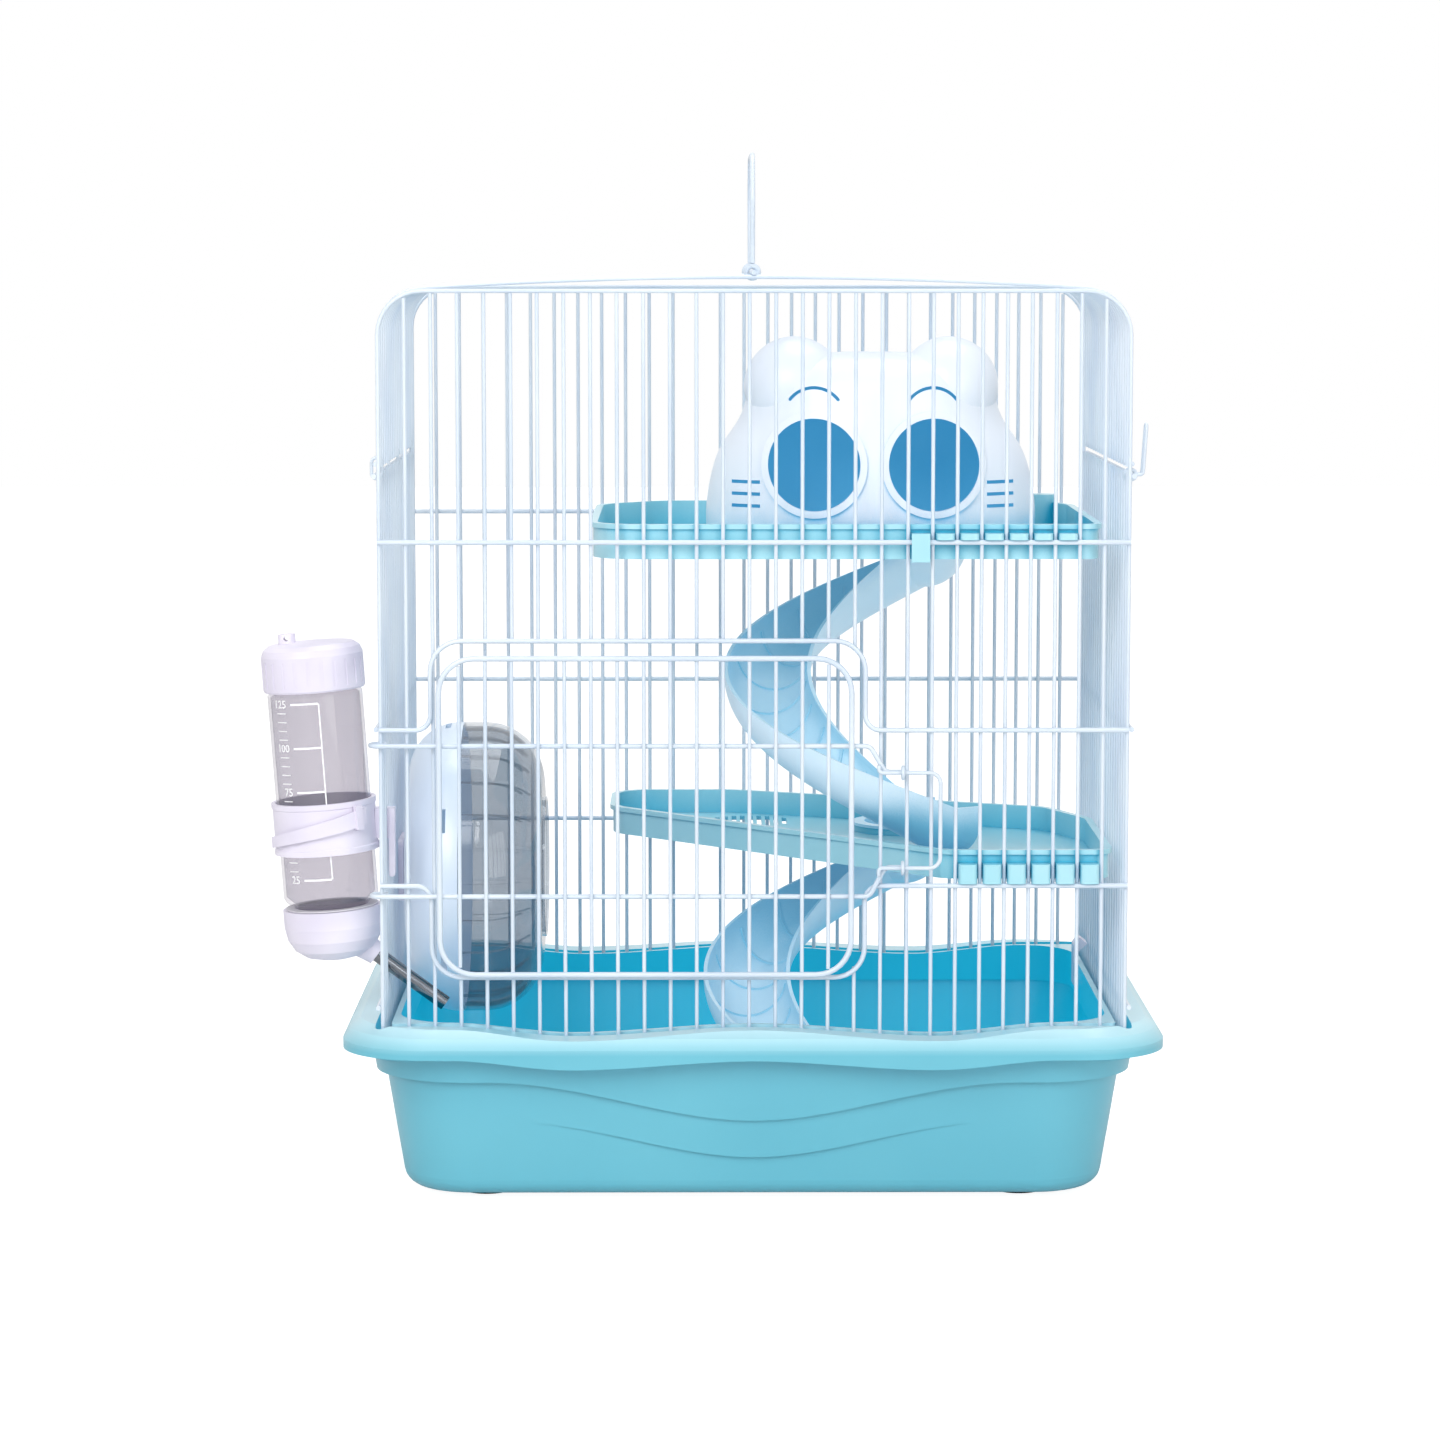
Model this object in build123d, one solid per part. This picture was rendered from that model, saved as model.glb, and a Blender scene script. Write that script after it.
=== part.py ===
from build123d import *
from math import atan, cos, degrees, radians, sin, sqrt
import os

# A hamster cage: a plastic tray carries a wire cage with an opening roof hood and a front door.
# Two shelves, two spiral slides, a cat-head house and a drum wheel stand inside, a water bottle outside.
# Millimetres. +Z is up, the door faces -Y, and all pieces are drawn about the middle of the wire cage.
# At the end everything moves together, so that the origin is the bottom centre of the whole object.

# ---- driving dimensions ----
CAGE_W = 342.0            # between the centre lines of the left and right wires
CAGE_D = 234.0            # between the centre lines of the front and back wires
CAGE_TOP = 422.0          # centre line of the front and back top wires
ROOF_RISE = 11.0          # how far the two straight halves of a roof hoop would rise to the middle
ROOF_BEND = 2350.0        # the wide bend that joins them across the middle
CORNER_R = 20.0           # bend of the hoops at the top corners
WIRE_FOOT = 73.0          # lower ends of the upright wires, in the tray's channel
SEAM_LOW = 338.0          # top cross wire of the two fixed side panels
SEAM_HIGH = 343.0         # lowest cross wire of the roof hood

MESH_D = 1.8              # upright wires and hoops
FRAME_D = 2.0             # the hoops that border the front and the back
CROSS_D = 2.3             # cross wires
DOOR_D = 2.6              # frame wire of the door
SINK = 0.006              # how deep a weld presses two pieces together
GAP = 0.4                 # clearance between pieces that move past each other

TRAY_RIM = 85.0           # crest of the tray's rim
TRAY_FLOOR = 6.0          # top of the tray's floor
FOOT_H = 3.0
WALL = 2.2                # moulded wall of tray, shelves and slides

X0 = CAGE_W / 2
Y0 = CAGE_D / 2

MIN_Z = (Align.CENTER, Align.CENTER, Align.MIN)

parts = {}


# ---- helpers ----
def bar(start, end, d):
    """A straight wire from start to end."""
    a, b = Vector(*start), Vector(*end)
    return extrude(Plane(origin=a, z_dir=b - a) * Circle(d / 2), amount=(b - a).length).solid()


def along(path, d):
    """A round wire of thickness d along a path."""
    return sweep(Plane(origin=path @ 0, z_dir=path % 0) * Circle(d / 2), path=path).solid()


def bent(points, bends, d):
    """A wire through points, bent to the given radii."""
    return along(FilletPolyline(*points, radius=bends), d)


def add(name, shape):
    """Keep a node: one solid, or a group of separate solids."""
    solids = shape if isinstance(shape, list) else [shape]
    flat = [s for item in solids for s in item.solids()]
    parts[name] = flat


# ---- wire cage ----
roof_half_angle = atan(ROOF_RISE / X0)
roof_crown = CAGE_TOP + ROOF_RISE - ROOF_BEND * (1 / cos(roof_half_angle) - 1)
cross_off = (MESH_D + CROSS_D) / 2 - SINK   # from the uprights' plane to the cross wires' plane

# The front's uprights stand a little closer in the right third.
WIDE_PITCH = 12.06
WIDE_COUNT = 20
FRONT_COUNT = 29
narrow_pitch = (CAGE_W - WIDE_COUNT * WIDE_PITCH) / (FRONT_COUNT - WIDE_COUNT)
SIDE_COUNT = 20
side_pitch = CAGE_D / SIDE_COUNT

CROSS_Z = (308.0, 222.0, 150.0)     # cross wires of the front and the back
SIDE_CROSS_Z = (SEAM_LOW, 222.0, 93.0)
FOOT_WIRE_Z = 75.5                  # lowest cross wire, hidden in the tray's channel
OVERHANG = 0.7                      # how far a cross wire passes the corner's centre line

# The door opening: the two middle cross wires are bent round it.
OPEN_L, OPEN_R = -148.0, 50.9
OPEN_T, OPEN_B = 263.0, 107.5
OPEN_BEND = 14.0
FLARE = 7.0
OPEN_FIRST, OPEN_LAST = 3, 18       # the uprights that the opening cuts


def front_x(k):
    """X of the front or back upright number k, from 0 at the left to FRONT_COUNT at the right."""
    if k <= WIDE_COUNT:
        return -X0 + k * WIDE_PITCH
    return -X0 + WIDE_COUNT * WIDE_PITCH + (k - WIDE_COUNT) * narrow_pitch


def side_y(k):
    """Y of the side upright or roof hoop number k, counted from the front; halves lie between two."""
    return -Y0 + k * side_pitch


def bend_lift(x, left, right, bend, r, reach=0.0):
    """How far a rounded outline of corner radius r has risen at x, or at reach beside it."""
    inset = max(left + bend - x + reach, x + reach - right + bend, 0.0)
    return bend - sqrt(r**2 - inset**2)


def end_frame(y):
    """The hoop that borders the front or the back panel."""
    points = [(-X0, y, WIRE_FOOT), (-X0, y, CAGE_TOP), (X0, y, CAGE_TOP), (X0, y, WIRE_FOOT)]
    return bent(points, [CORNER_R, CORNER_R], FRAME_D)


def upright_top(x):
    """Upper end of an upright, whose outer edge is welded to the inside of the end frame."""
    return CAGE_TOP - bend_lift(x, -X0, X0, CORNER_R, CORNER_R - FRAME_D / 2, MESH_D / 2) + SINK


handle_wire_z = roof_crown + cross_off      # the roof's long wire, on which the handle turns


def front_panel():
    y = -Y0
    cross_y = y - cross_off
    bars = []
    for k in range(1, FRONT_COUNT):
        x = front_x(k)
        if OPEN_FIRST <= k <= OPEN_LAST:
            lift = bend_lift(x, OPEN_L, OPEN_R, OPEN_BEND, OPEN_BEND)
            foot_weld = OPEN_B + lift + CROSS_D / 2
            top_weld = OPEN_T - lift - CROSS_D / 2
            bars.append(bar((x, y, WIRE_FOOT), (x, y, foot_weld), MESH_D))
            bars.append(bar((x, y, top_weld), (x, y, upright_top(x)), MESH_D))
        else:
            bars.append(bar((x, y, WIRE_FOOT), (x, y, upright_top(x)), MESH_D))
    end = X0 + OVERHANG
    cross = [bar((-end, cross_y, z), (end, cross_y, z), CROSS_D) for z in (CROSS_Z[0], FOOT_WIRE_Z)]
    for z_side, z_far in ((CROSS_Z[1], OPEN_T), (CROSS_Z[2], OPEN_B)):
        points = [(-end, cross_y, z_side), (OPEN_L, cross_y, z_side), (OPEN_L, cross_y, z_far),
                  (OPEN_R, cross_y, z_far), (OPEN_R, cross_y, z_side), (end, cross_y, z_side)]
        cross.append(bent(points, [FLARE, OPEN_BEND, OPEN_BEND, FLARE], CROSS_D))
    add("front_frame_wire", end_frame(y))
    add("front_bars", bars)
    add("front_cross_wires", cross)


def back_panel():
    y = Y0
    cross_y = y + cross_off
    places = [front_x(k) for k in range(1, FRONT_COUNT)]
    bars = [bar((x, y, WIRE_FOOT), (x, y, upright_top(x)), MESH_D) for x in places]
    end = X0 + OVERHANG
    cross = [bar((-end, cross_y, z), (end, cross_y, z), CROSS_D) for z in (*CROSS_Z, FOOT_WIRE_Z)]
    add("back_frame_wire", end_frame(y))
    add("back_bars", bars)
    add("back_cross_wires", cross)


def side_panel(name, side):
    x = side * X0
    cross_x = side * (X0 + cross_off)
    top = SEAM_LOW + CROSS_D / 2
    bars = [bar((x, side_y(k), WIRE_FOOT), (x, side_y(k), top), MESH_D) for k in range(1, SIDE_COUNT)]
    end = Y0 + OVERHANG
    cross = [bar((cross_x, -end, z), (cross_x, end, z), CROSS_D) for z in (*SIDE_CROSS_Z, FOOT_WIRE_Z)]
    add(name + "_bars", bars)
    add(name + "_cross_wires", cross)


def roof_hood():
    """Hoops that run up one side, over the roof and down the other, with three long wires."""
    bends = [CORNER_R, ROOF_BEND, CORNER_R]
    foot = SEAM_HIGH - CROSS_D / 2
    hoops = []
    for k in range(1, SIDE_COUNT):
        y = side_y(k)
        points = [(-X0, y, foot), (-X0, y, CAGE_TOP), (0, y, CAGE_TOP + ROOF_RISE), (X0, y, CAGE_TOP),
                  (X0, y, foot)]
        hoops.append(bent(points, bends, MESH_D))
    y_end = side_y(SIDE_COUNT - 1) + 1.5
    cross_x = X0 + cross_off
    cross = [bar((s * cross_x, -y_end, SEAM_HIGH), (s * cross_x, y_end, SEAM_HIGH), CROSS_D) for s in (-1, 1)]
    cross.append(bar((0, -y_end, handle_wire_z), (0, y_end, handle_wire_z), CROSS_D))
    add("hood_hoops", hoops)
    add("hood_cross_wires", cross)


def link(y, z_mid, x, d, half, tall):
    """A closed upright link of wire in the XZ plane, half wide and tall high from its middle."""
    plane = Plane(origin=(x, y, z_mid), x_dir=(1, 0, 0), z_dir=(0, -1, 0))
    return along((plane * RectangleRounded(2 * half, 2 * tall, half - 0.02)).wire(), d)


def eye(centre, axis, r, d):
    """A small closed eye of wire round axis."""
    return along((Plane(origin=centre, z_dir=axis) * Circle(r)).wire(), d)


# ---- hinge rings and latch of the roof hood ----
RING_D = 1.6
RING_R = CROSS_D / 2 + GAP + RING_D / 2             # centre line of an eye that turns on a cross wire
HINGE_RING_K = (1.5, 10.5, 18.5)                    # places along the side, in uprights


def hinge_rings():
    """Rings round both seam wires at the left. They hang on the fixed wire and leave the hood's free."""
    middle = (SEAM_LOW + SEAM_HIGH) / 2 + GAP
    tall = (SEAM_HIGH - SEAM_LOW) / 2 + RING_R
    rings = [link(side_y(k), middle, -(X0 + cross_off), RING_D, RING_R, tall) for k in HINGE_RING_K]
    add("hinge_rings", rings)


def roof_latch():
    """A finger loop that turns on the right seam wire by two eyes."""
    x = X0 + cross_off
    near, far = side_y(1.25), side_y(1.75)
    root = x + RING_R + RING_D / 2 - SINK
    points = [(root, near, SEAM_LOW), (x + 5.5, near, SEAM_LOW), (x + 7.0, near, SEAM_LOW + 23.0),
              (x + 7.0, far, SEAM_LOW + 23.0), (x + 5.5, far, SEAM_LOW), (root, far, SEAM_LOW)]
    loop = bent(points, [1.5, 2.4, 2.4, 1.5], RING_D)
    add("roof_latch", [loop] + [eye((x, y, SEAM_LOW), (0, 1, 0), RING_R, RING_D) for y in (near, far)])


# ---- carrying handle ----
HANDLE_D = 2.6
HANDLE_TOP = 485.0
EYE_K = 6.5                         # the eyes stand between hoops 6 and 7, counted from the front


def handle():
    """A bail that stands across the middle of the roof and turns on the roof's long wire."""
    r = CROSS_D / 2 + GAP + HANDLE_D / 2
    half = -side_y(EYE_K)
    foot = handle_wire_z + r + HANDLE_D / 2 - SINK
    side = [(half, foot), (half, foot + 9), (half + 8, HANDLE_TOP - 18), (half - 6, HANDLE_TOP)]
    points = [(0, -y, z) for y, z in side] + [(0, y, z) for y, z in reversed(side)]
    bail = bent(points, [8, 12, 12, 12, 12, 8], HANDLE_D)
    add("handle", [bail] + [eye((0, y, handle_wire_z), (0, 1, 0), r, HANDLE_D) for y in (-half, half)])


# ---- door and its latch ----
DOOR_L, DOOR_R = -144.0, 44.5
DOOR_B, DOOR_T = 109.6, 255.4
DOOR_BEND = 16.0
DOOR_FIRST, DOOR_LAST = 3, 17       # the door's bars line up with these uprights of the panel
RAIL_Z = (215.0, 145.5)             # the two hinge wires
TONGUE_Z = (203.0, 159.0)           # where they go on behind the latch
STEP_X = 53.0                       # start of the step from rail to tongue
TONGUE_END = 68.0
HOOK_R = 4.6                        # hinge hooks round the end frame's left leg
LATCH_D = 1.9

rail_y = -Y0 - cross_off - CROSS_D - GAP            # the hinge wires pass just in front of the cross wires
door_bar_y = rail_y - cross_off
door_y = rail_y - (CROSS_D + DOOR_D) / 2 + SINK
latch_y = rail_y - CROSS_D - GAP


def door():
    middle = ((DOOR_L + DOOR_R) / 2, door_y, (DOOR_B + DOOR_T) / 2)
    plane = Plane(origin=middle, x_dir=(1, 0, 0), z_dir=(0, -1, 0))
    outline = plane * RectangleRounded(DOOR_R - DOOR_L, DOOR_T - DOOR_B, DOOR_BEND)
    add("door_frame_wire", along(outline.wire(), DOOR_D))

    bars = []
    for k in range(DOOR_FIRST, DOOR_LAST + 1):
        x = front_x(k)
        lift = bend_lift(x, DOOR_L, DOOR_R, DOOR_BEND, DOOR_BEND - DOOR_D / 2, MESH_D / 2) - SINK
        bars.append(bar((x, door_bar_y, DOOR_B + lift), (x, door_bar_y, DOOR_T - lift), MESH_D))
    add("door_bars", bars)

    wires = []
    eye_r = rail_y - latch_y
    for rail_z, tongue_z in zip(RAIL_Z, TONGUE_Z):
        points = [(TONGUE_END - RING_D / 2 + SINK, rail_y, tongue_z), (STEP_X + 7, rail_y, tongue_z),
                  (STEP_X, rail_y, rail_z), (-X0 - HOOK_R, rail_y, rail_z),
                  (-X0 - HOOK_R, -Y0 + HOOK_R, rail_z), (-X0 + 2.5, -Y0 + HOOK_R, rail_z)]
        wires.append(bent(points, [4, 4, HOOK_R - 0.1, HOOK_R - 0.1], CROSS_D))
        wires.append(eye((TONGUE_END, latch_y, tongue_z), (1, 0, 0), eye_r, RING_D))
    add("door_hinge_wires", wires)


def door_latch():
    """A U of wire whose legs slide in the eyes at the ends of the door's tongues."""
    left, right = TONGUE_END - 11.0, 85.2
    top, bottom = TONGUE_Z
    points = [(left, latch_y, top + 3.4), (left, latch_y, top), (right, latch_y, top),
              (right, latch_y, bottom), (left, latch_y, bottom), (left, latch_y, bottom - 3.4)]
    add("door_latch", bent(points, [1.8, 5, 5, 1.8], LATCH_D))


# ---- tray ----
def plan(o, r):
    """Rounded rectangle that stands o outside the wires' plane."""
    return RectangleRounded(2 * (X0 + o), 2 * (Y0 + o), r)


def taper(o_low, z_low, r_low, o_high, z_high, r_high):
    """A block that widens evenly from one level to the next."""
    return loft([Plane.XY.offset(z_low) * plan(o_low, r_low), Plane.XY.offset(z_high) * plan(o_high, r_high)])


def ring(o_out, r_out, o_in, r_in, z, height):
    return extrude(Plane.XY.offset(z) * (plan(o_out, r_out) - plan(o_in, r_in)), amount=height)


def above(points, z):
    """Everything above a smooth curve in X and Z that is level at each of its points."""
    curve = Spline(*points, tangents=[(1, 0)] * len(points))
    far_left, far_right = points[0][0], points[-1][0]
    corners = [points[-1], (far_right, z), (far_left, z), points[0]]
    edge = curve + Polyline(*corners)
    return extrude(Plane.XZ * make_face(edge), amount=Y0 + 60, both=True)


def bulge(half, y_wall, height):
    """A plan of the front wall's bulge: a shallow arc over a chord that lies just inside the wall's face."""
    chord = -y_wall + 0.4
    arc = ThreePointArc((half, chord), (0, -y_wall - height), (-half, chord))
    return make_face(Line((-half, chord), (half, chord)) + arc)


def rim_wave(z):
    """The rim's wave: two dips and a hump on the long sides, level at the ends."""
    flat, dip, depth = 140.0, 84.0, 4.5
    return [(-X0 - 60, z), (-flat, z), (-dip, z - depth), (0, z - 0.3), (dip, z - depth), (flat, z),
            (X0 + 60, z)]


def tray():
    ledge = 67.0
    body_low, body_high = -8.0, 3.5
    body = taper(body_low, FOOT_H, 32, body_high, ledge + 5, 44)
    body = fillet(body.faces().sort_by(Axis.Z)[0].edges(), 9)

    # The step band under the rim, whose lower edge swings down in the middle of the long sides.
    per_mm = (body_high - body_low) / (ledge + 5 - FOOT_H)
    band_low = 36.0
    at_low = body_low + per_mm * (band_low - FOOT_H)
    band = taper(at_low + 4.5, band_low, 42, body_high + 4.5, ledge + 5, 46)
    band_edge = [(-X0 - 60, 59.0), (-122, 59.0), (0, 40.5), (122, 59.0), (X0 + 60, 59.0)]
    band &= above(band_edge, 100)

    # A second, shallower swing below it bulges from the long walls and fades out towards both ends.
    swell_low, swell_high = 18.0, 60.0
    levels = [(z, Y0 + body_low + per_mm * (z - FOOT_H)) for z in (swell_low, swell_high)]
    swell_half, swell_end = 112.0, 38.7
    swell = loft([Plane.XY.offset(z) * bulge(swell_half, y_wall, 2.4) for z, y_wall in levels])
    swell_edge = [(-X0 - 60, swell_end), (-swell_half, swell_end), (0, 22.3), (swell_half, swell_end),
                  (X0 + 60, swell_end)]
    swell &= above(swell_edge, 100)
    swell += mirror(swell, Plane.XZ)

    # The rim flares out and rounds over in three flats; its crest and its lip follow the same wave.
    flare = [(20.0, 60.0, 40), (20.0, 76.5, 40), (17.0, 81.5, 40), (8.0, 88.0, 40)]
    rim = taper(*flare[0], *flare[1]) + taper(*flare[1], *flare[2]) + taper(*flare[2], *flare[3])
    rim -= above(rim_wave(TRAY_RIM), TRAY_RIM + 20)
    rim &= above([(x, z - 13) for x, z in rim_wave(TRAY_RIM)], TRAY_RIM + 20)
    neck = extrude(Plane.XY.offset(69.3) * plan(7.4, 12), amount=7)
    shell = body + swell + band + rim + neck

    shell -= ring(18, 38, 10.2, 30, 60, 75.5 - 60)
    cavity = taper(body_low - WALL, TRAY_FLOOR, 30, body_high - WALL, ledge, 42)
    cavity = fillet(cavity.faces().sort_by(Axis.Z)[0].edges(), 7)
    shell -= cavity
    shell -= extrude(Plane.XY.offset(ledge - 1) * plan(-6.2, 26), amount=40)
    shell -= ring(3.6, 4, -3.6, 2, WIRE_FOOT - GAP, 30)
    add("tray", shell.solid())


def tray_feet():
    feet = []
    for x in (-125.0, 125.0):
        for y in (-80.0, 80.0):
            foot = Pos(x, y, 0) * Cylinder(12.5, FOOT_H, align=(Align.CENTER, Align.CENTER, Align.MIN))
            feet.append(chamfer(foot.edges().group_by(Axis.Z)[0], 0.8))
    add("tray_feet", feet)


def tray_clips():
    """A springy tab on each short side of the tray, which leans on the uprights inside the cage."""
    clips = []
    for side in (-1, 1):
        lip = side * (X0 - 6.2)
        profile = [(lip, 74), (lip - side * 2.2, 74), (lip - side * 2.2, 94), (lip + side * 0.6, 98),
                   (lip + side * 4.6, 95), (lip + side * 0.6, 91), (lip, 91)]
        face = make_face(Plane.XZ * Polyline(*profile, close=True))
        clips.append(Pos(0, 60, 0) * extrude(face, amount=6, both=True))
    add("tray_clips", clips)


# ---- shelves ----
SHELF_WALL = 2.0
UPPER_Z = 300.0                     # undersides of the shelves
LOWER_Z = 152.6
UPPER_RIM = 16.0
LOWER_RIM = 13.5
HOLE_R = 23.0
HOLE_COLLAR = 3.0                   # height of the raised edge round a slide's hole


def rounded(points, radii):
    """A flat face with straight sides and its own radius at each corner."""
    path = FilletPolyline(*points, radius=radii, close=True)
    return make_face(path)


def shelf(points, radii, z, rim_h, hole):
    """A shallow dish with a rolled rim, a hole for the slide and a low collar round the hole."""
    outer = rounded(points, radii)
    inner = offset(outer, amount=-SHELF_WALL)
    lip = offset(outer, amount=1.5)
    shape = extrude(outer, amount=rim_h) - Pos(0, 0, SHELF_WALL) * extrude(inner, amount=rim_h)
    shape += Pos(0, 0, rim_h - 2.2) * extrude(lip - inner, amount=2.2)
    shape += Pos(hole[0], hole[1], SHELF_WALL) * Cylinder(HOLE_R + 1.8, HOLE_COLLAR, align=MIN_Z)
    shape -= Pos(hole[0], hole[1], -1) * Cylinder(HOLE_R, rim_h, align=MIN_Z)
    return Pos(0, 0, z) * shape


def comb(first, last, z, tall, teeth_y):
    """Teeth along the front edge, one in each gap between the uprights, that rest on the cross wire."""
    teeth = []
    for k in range(first, last):
        left, right = front_x(k) + MESH_D / 2 + GAP, front_x(k + 1) - MESH_D / 2 - GAP
        reach = teeth_y + Y0 + 5.0
        tooth = Pos((left + right) / 2, teeth_y - reach / 2, z + tall / 2) * Box(right - left, reach, tall)
        tip = tooth.faces().sort_by(Axis.Y)[0]
        teeth.append(fillet(tip.edges().filter_by(Axis.Z), 2.2))
    return teeth


# A slide turns left as it goes down, about x and y, from the angle start through sweep degrees.
UPPER_SLIDE = dict(x=60.0, y=0.0, start=60.0, sweep=240.0, top=UPPER_Z - 1.0,
                   bottom=LOWER_Z + SHELF_WALL - SINK)
LOWER_SLIDE = dict(x=50.0, y=-4.0, start=60.0, sweep=240.0, top=LOWER_Z - 1.0, bottom=TRAY_FLOOR + 0.3)
SLIDE_R = 52.0
SLIDE_HALF = 21.0


def slide_start(slide):
    turn = radians(slide["start"])
    return slide["x"] + SLIDE_R * cos(turn), slide["y"] + SLIDE_R * sin(turn)


def upper_shelf():
    front = -Y0 + 3.2
    points = [(-74, front), (158, front), (158, 40), (146, 76), (-44, 76), (-74, 46)]
    shape = shelf(points, [22, 8, 12, 14, 26, 30], UPPER_Z, UPPER_RIM, slide_start(UPPER_SLIDE))
    rest = CROSS_Z[0] + CROSS_D / 2 - SINK
    for tooth in comb(21, 27, rest, 3.0, front + 1):
        shape += tooth
    hook_x = (front_x(20) + front_x(21)) / 2
    hook_y = -Y0 - cross_off - CROSS_D / 2
    shape += Pos(hook_x, (front + hook_y - 2.4) / 2, rest + 1.5) * Box(8.4, front - hook_y + 2.4, 3.0)
    shape += Pos(hook_x, hook_y - 1.4, rest - 3.5) * Box(8.4, 2.0, 13.0)
    shape += Pos(146, 62, UPPER_Z + 1) * Cylinder(7, UPPER_RIM + 3, align=MIN_Z)
    add("upper_shelf", shape)


VENT_X, VENT_Y = 0.9, 74.0
VENT_HALF_D = 20.0
VENT_SLOTS = 4                      # slots to each side of the middle one
VENT_PITCH = 4.2
VENT_SLOT_W = 2.4


def lower_shelf():
    front = -Y0 + 3.2
    points = [(88, front), (164, front), (164, -4), (146, 40), (-8, 109), (-68, 109), (-68, 44)]
    shape = shelf(points, [14, 8, 20, 18, 24, 18, 22], LOWER_Z, LOWER_RIM, slide_start(LOWER_SLIDE))
    rest = CROSS_Z[2] + CROSS_D / 2 - SINK
    for tooth in comb(22, 28, rest, 9.0, front + 1):
        shape += tooth
    # An oval of narrow slots lets droppings and air through at the far end from the slide's hole.
    for i in range(-VENT_SLOTS, VENT_SLOTS + 1):
        x = VENT_X + i * VENT_PITCH
        length = 2 * VENT_HALF_D * sqrt(1 - (i / (VENT_SLOTS + 1)) ** 2)
        slot = Rot(0, 0, 90) * SlotOverall(length, VENT_SLOT_W)
        shape -= Pos(x, VENT_Y, LOWER_Z) * extrude(slot, amount=SHELF_WALL)
    add("lower_shelf", shape)


# ---- spiral slides ----
SLIDE_WALL = 1.8
SLIDE_LIP = 3.0                     # upright edge above the round of the trough
SLIDE_DEPTH = SLIDE_HALF + SLIDE_LIP
RUN_OUT = 14.0                      # level end of the chute
RIB_EVERY = 20.0                    # degrees between the grip ribs across the trough
RIB_TALL = 0.7
RIB_SEAT = 0.9                      # how deep a rib is seated, as the chute falls away under it


def trough(half=False):
    """Section of the chute, standing on the origin: a half round with short upright edges."""
    r, wall, top = SLIDE_HALF, SLIDE_WALL, SLIDE_DEPTH
    r_in = r - wall
    bend = (r * sin(radians(45)), r - r * sin(radians(45)))
    bend_in = (r_in * sin(radians(45)), r - r_in * sin(radians(45)))
    right_out = ThreePointArc((0, 0), bend, (r, r)) + Line((r, r), (r, top))
    right_in = Line((r_in, top), (r_in, r)) + ThreePointArc((r_in, r), bend_in, (0, wall))
    rim = Line((r, top), (r_in, top))
    right = make_face(right_out + rim + right_in + Line((0, wall), (0, 0)))
    return right if half else right + mirror(right, Plane.YZ)


def station(turn, z):
    """The place of an upright section across the chute, turn degrees along, with its low point at z."""
    return Rot(0, 0, turn) * Pos(SLIDE_R, 0, z) * Rot(90, 0, 0)


def rib(turn, z):
    """A thin grip rib across the trough, seated in its round."""
    r_in = SLIDE_HALF - SLIDE_WALL
    arc = Circle(r_in + RIB_SEAT) - Circle(r_in - RIB_TALL)
    low_part = Pos(0, SLIDE_HALF) * (arc & Pos(0, -r_in - 3) * Rectangle(3 * r_in, 2 * r_in))
    return extrude(station(turn, z) * low_part, amount=0.5, both=True)


def slide(spec):
    """A helical half-round chute with half a bowl behind its head, and a run-out."""
    bottom = spec["top"] - SLIDE_DEPTH
    drop = bottom - spec["bottom"]
    stops = round(spec["sweep"] / 8)
    turns = [spec["sweep"] * i / stops for i in range(stops + 1)]
    chute = loft([station(turn, -drop * turn / spec["sweep"]) * trough() for turn in turns])
    for i in range(1, int(spec["sweep"] / RIB_EVERY)):
        turn = i * RIB_EVERY
        chute += rib(turn, -drop * turn / spec["sweep"])
    chute += Pos(SLIDE_R, 0, 0) * Rot(0, 0, 180) * revolve(Plane.XZ * trough(half=True), Axis.Z, 180)
    chute += Rot(0, 0, spec["sweep"]) * extrude(station(0, -drop) * trough(), amount=-RUN_OUT)
    return Pos(spec["x"], spec["y"], bottom) * Rot(0, 0, spec["start"]) * chute


def slide_ring(spec, shelf_z):
    """The ring that hangs a slide in its shelf: a flange on the hole's edge and a wall down to the bowl."""
    x, y = slide_start(spec)
    low, hang = spec["top"] - SINK, shelf_z + SHELF_WALL + HOLE_COLLAR - SINK
    r_in, flange_r, flange_top = SLIDE_HALF - SLIDE_WALL, HOLE_R + 2.2, hang + 1.4
    profile = [(r_in, low), (SLIDE_HALF, low), (SLIDE_HALF, hang), (flange_r, hang), (flange_r, flange_top),
               (r_in, flange_top)]
    return Pos(x, y, 0) * revolve(make_face(Plane.XZ * Polyline(*profile, close=True)), Axis.Z)


def slides():
    add("upper_slide", slide(UPPER_SLIDE))
    add("upper_slide_ring", slide_ring(UPPER_SLIDE, UPPER_Z))
    add("lower_slide", slide(LOWER_SLIDE))
    add("lower_slide_ring", slide_ring(LOWER_SLIDE, LOWER_Z))


# ---- cat-head house ----
HOUSE_X, HOUSE_Y = 55.6, -50.0
HOUSE_Z = UPPER_Z + SHELF_WALL + 0.1
HOUSE_WALL = 2.0
HOUSE_SPLIT = 6.0                   # the front shell ends this far behind the middle

# The head's outline seen from the front: half widths and heights, from full cheeks to a flat crown.
HEAD_OUTLINE = [(77.0, 0), (77.5, 14), (75.4, 32), (69.8, 48), (63, 58), (59.6, 65.5), (57.5, 73), (51, 81.5),
                (38, 87.8), (20, 90.5), (0, 91)]
HEAD_HALF_D = 49.0
EAR_X, EAR_Y, EAR_Z = 36.2, -3.0, 75.0
EAR_HALF_W, EAR_HALF_D, EAR_HALF_H = 23.4, 25.0, 23.2
EYE_X, EYE_Z, EYE_HOLE_R = 27.7, 39.8, 21.2
EYE_RING = 3.2                      # width of the raised ring round an eye door
RING_RISE = 1.6
WHISKER_Z = (20.5, 26.0, 31.5)


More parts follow.
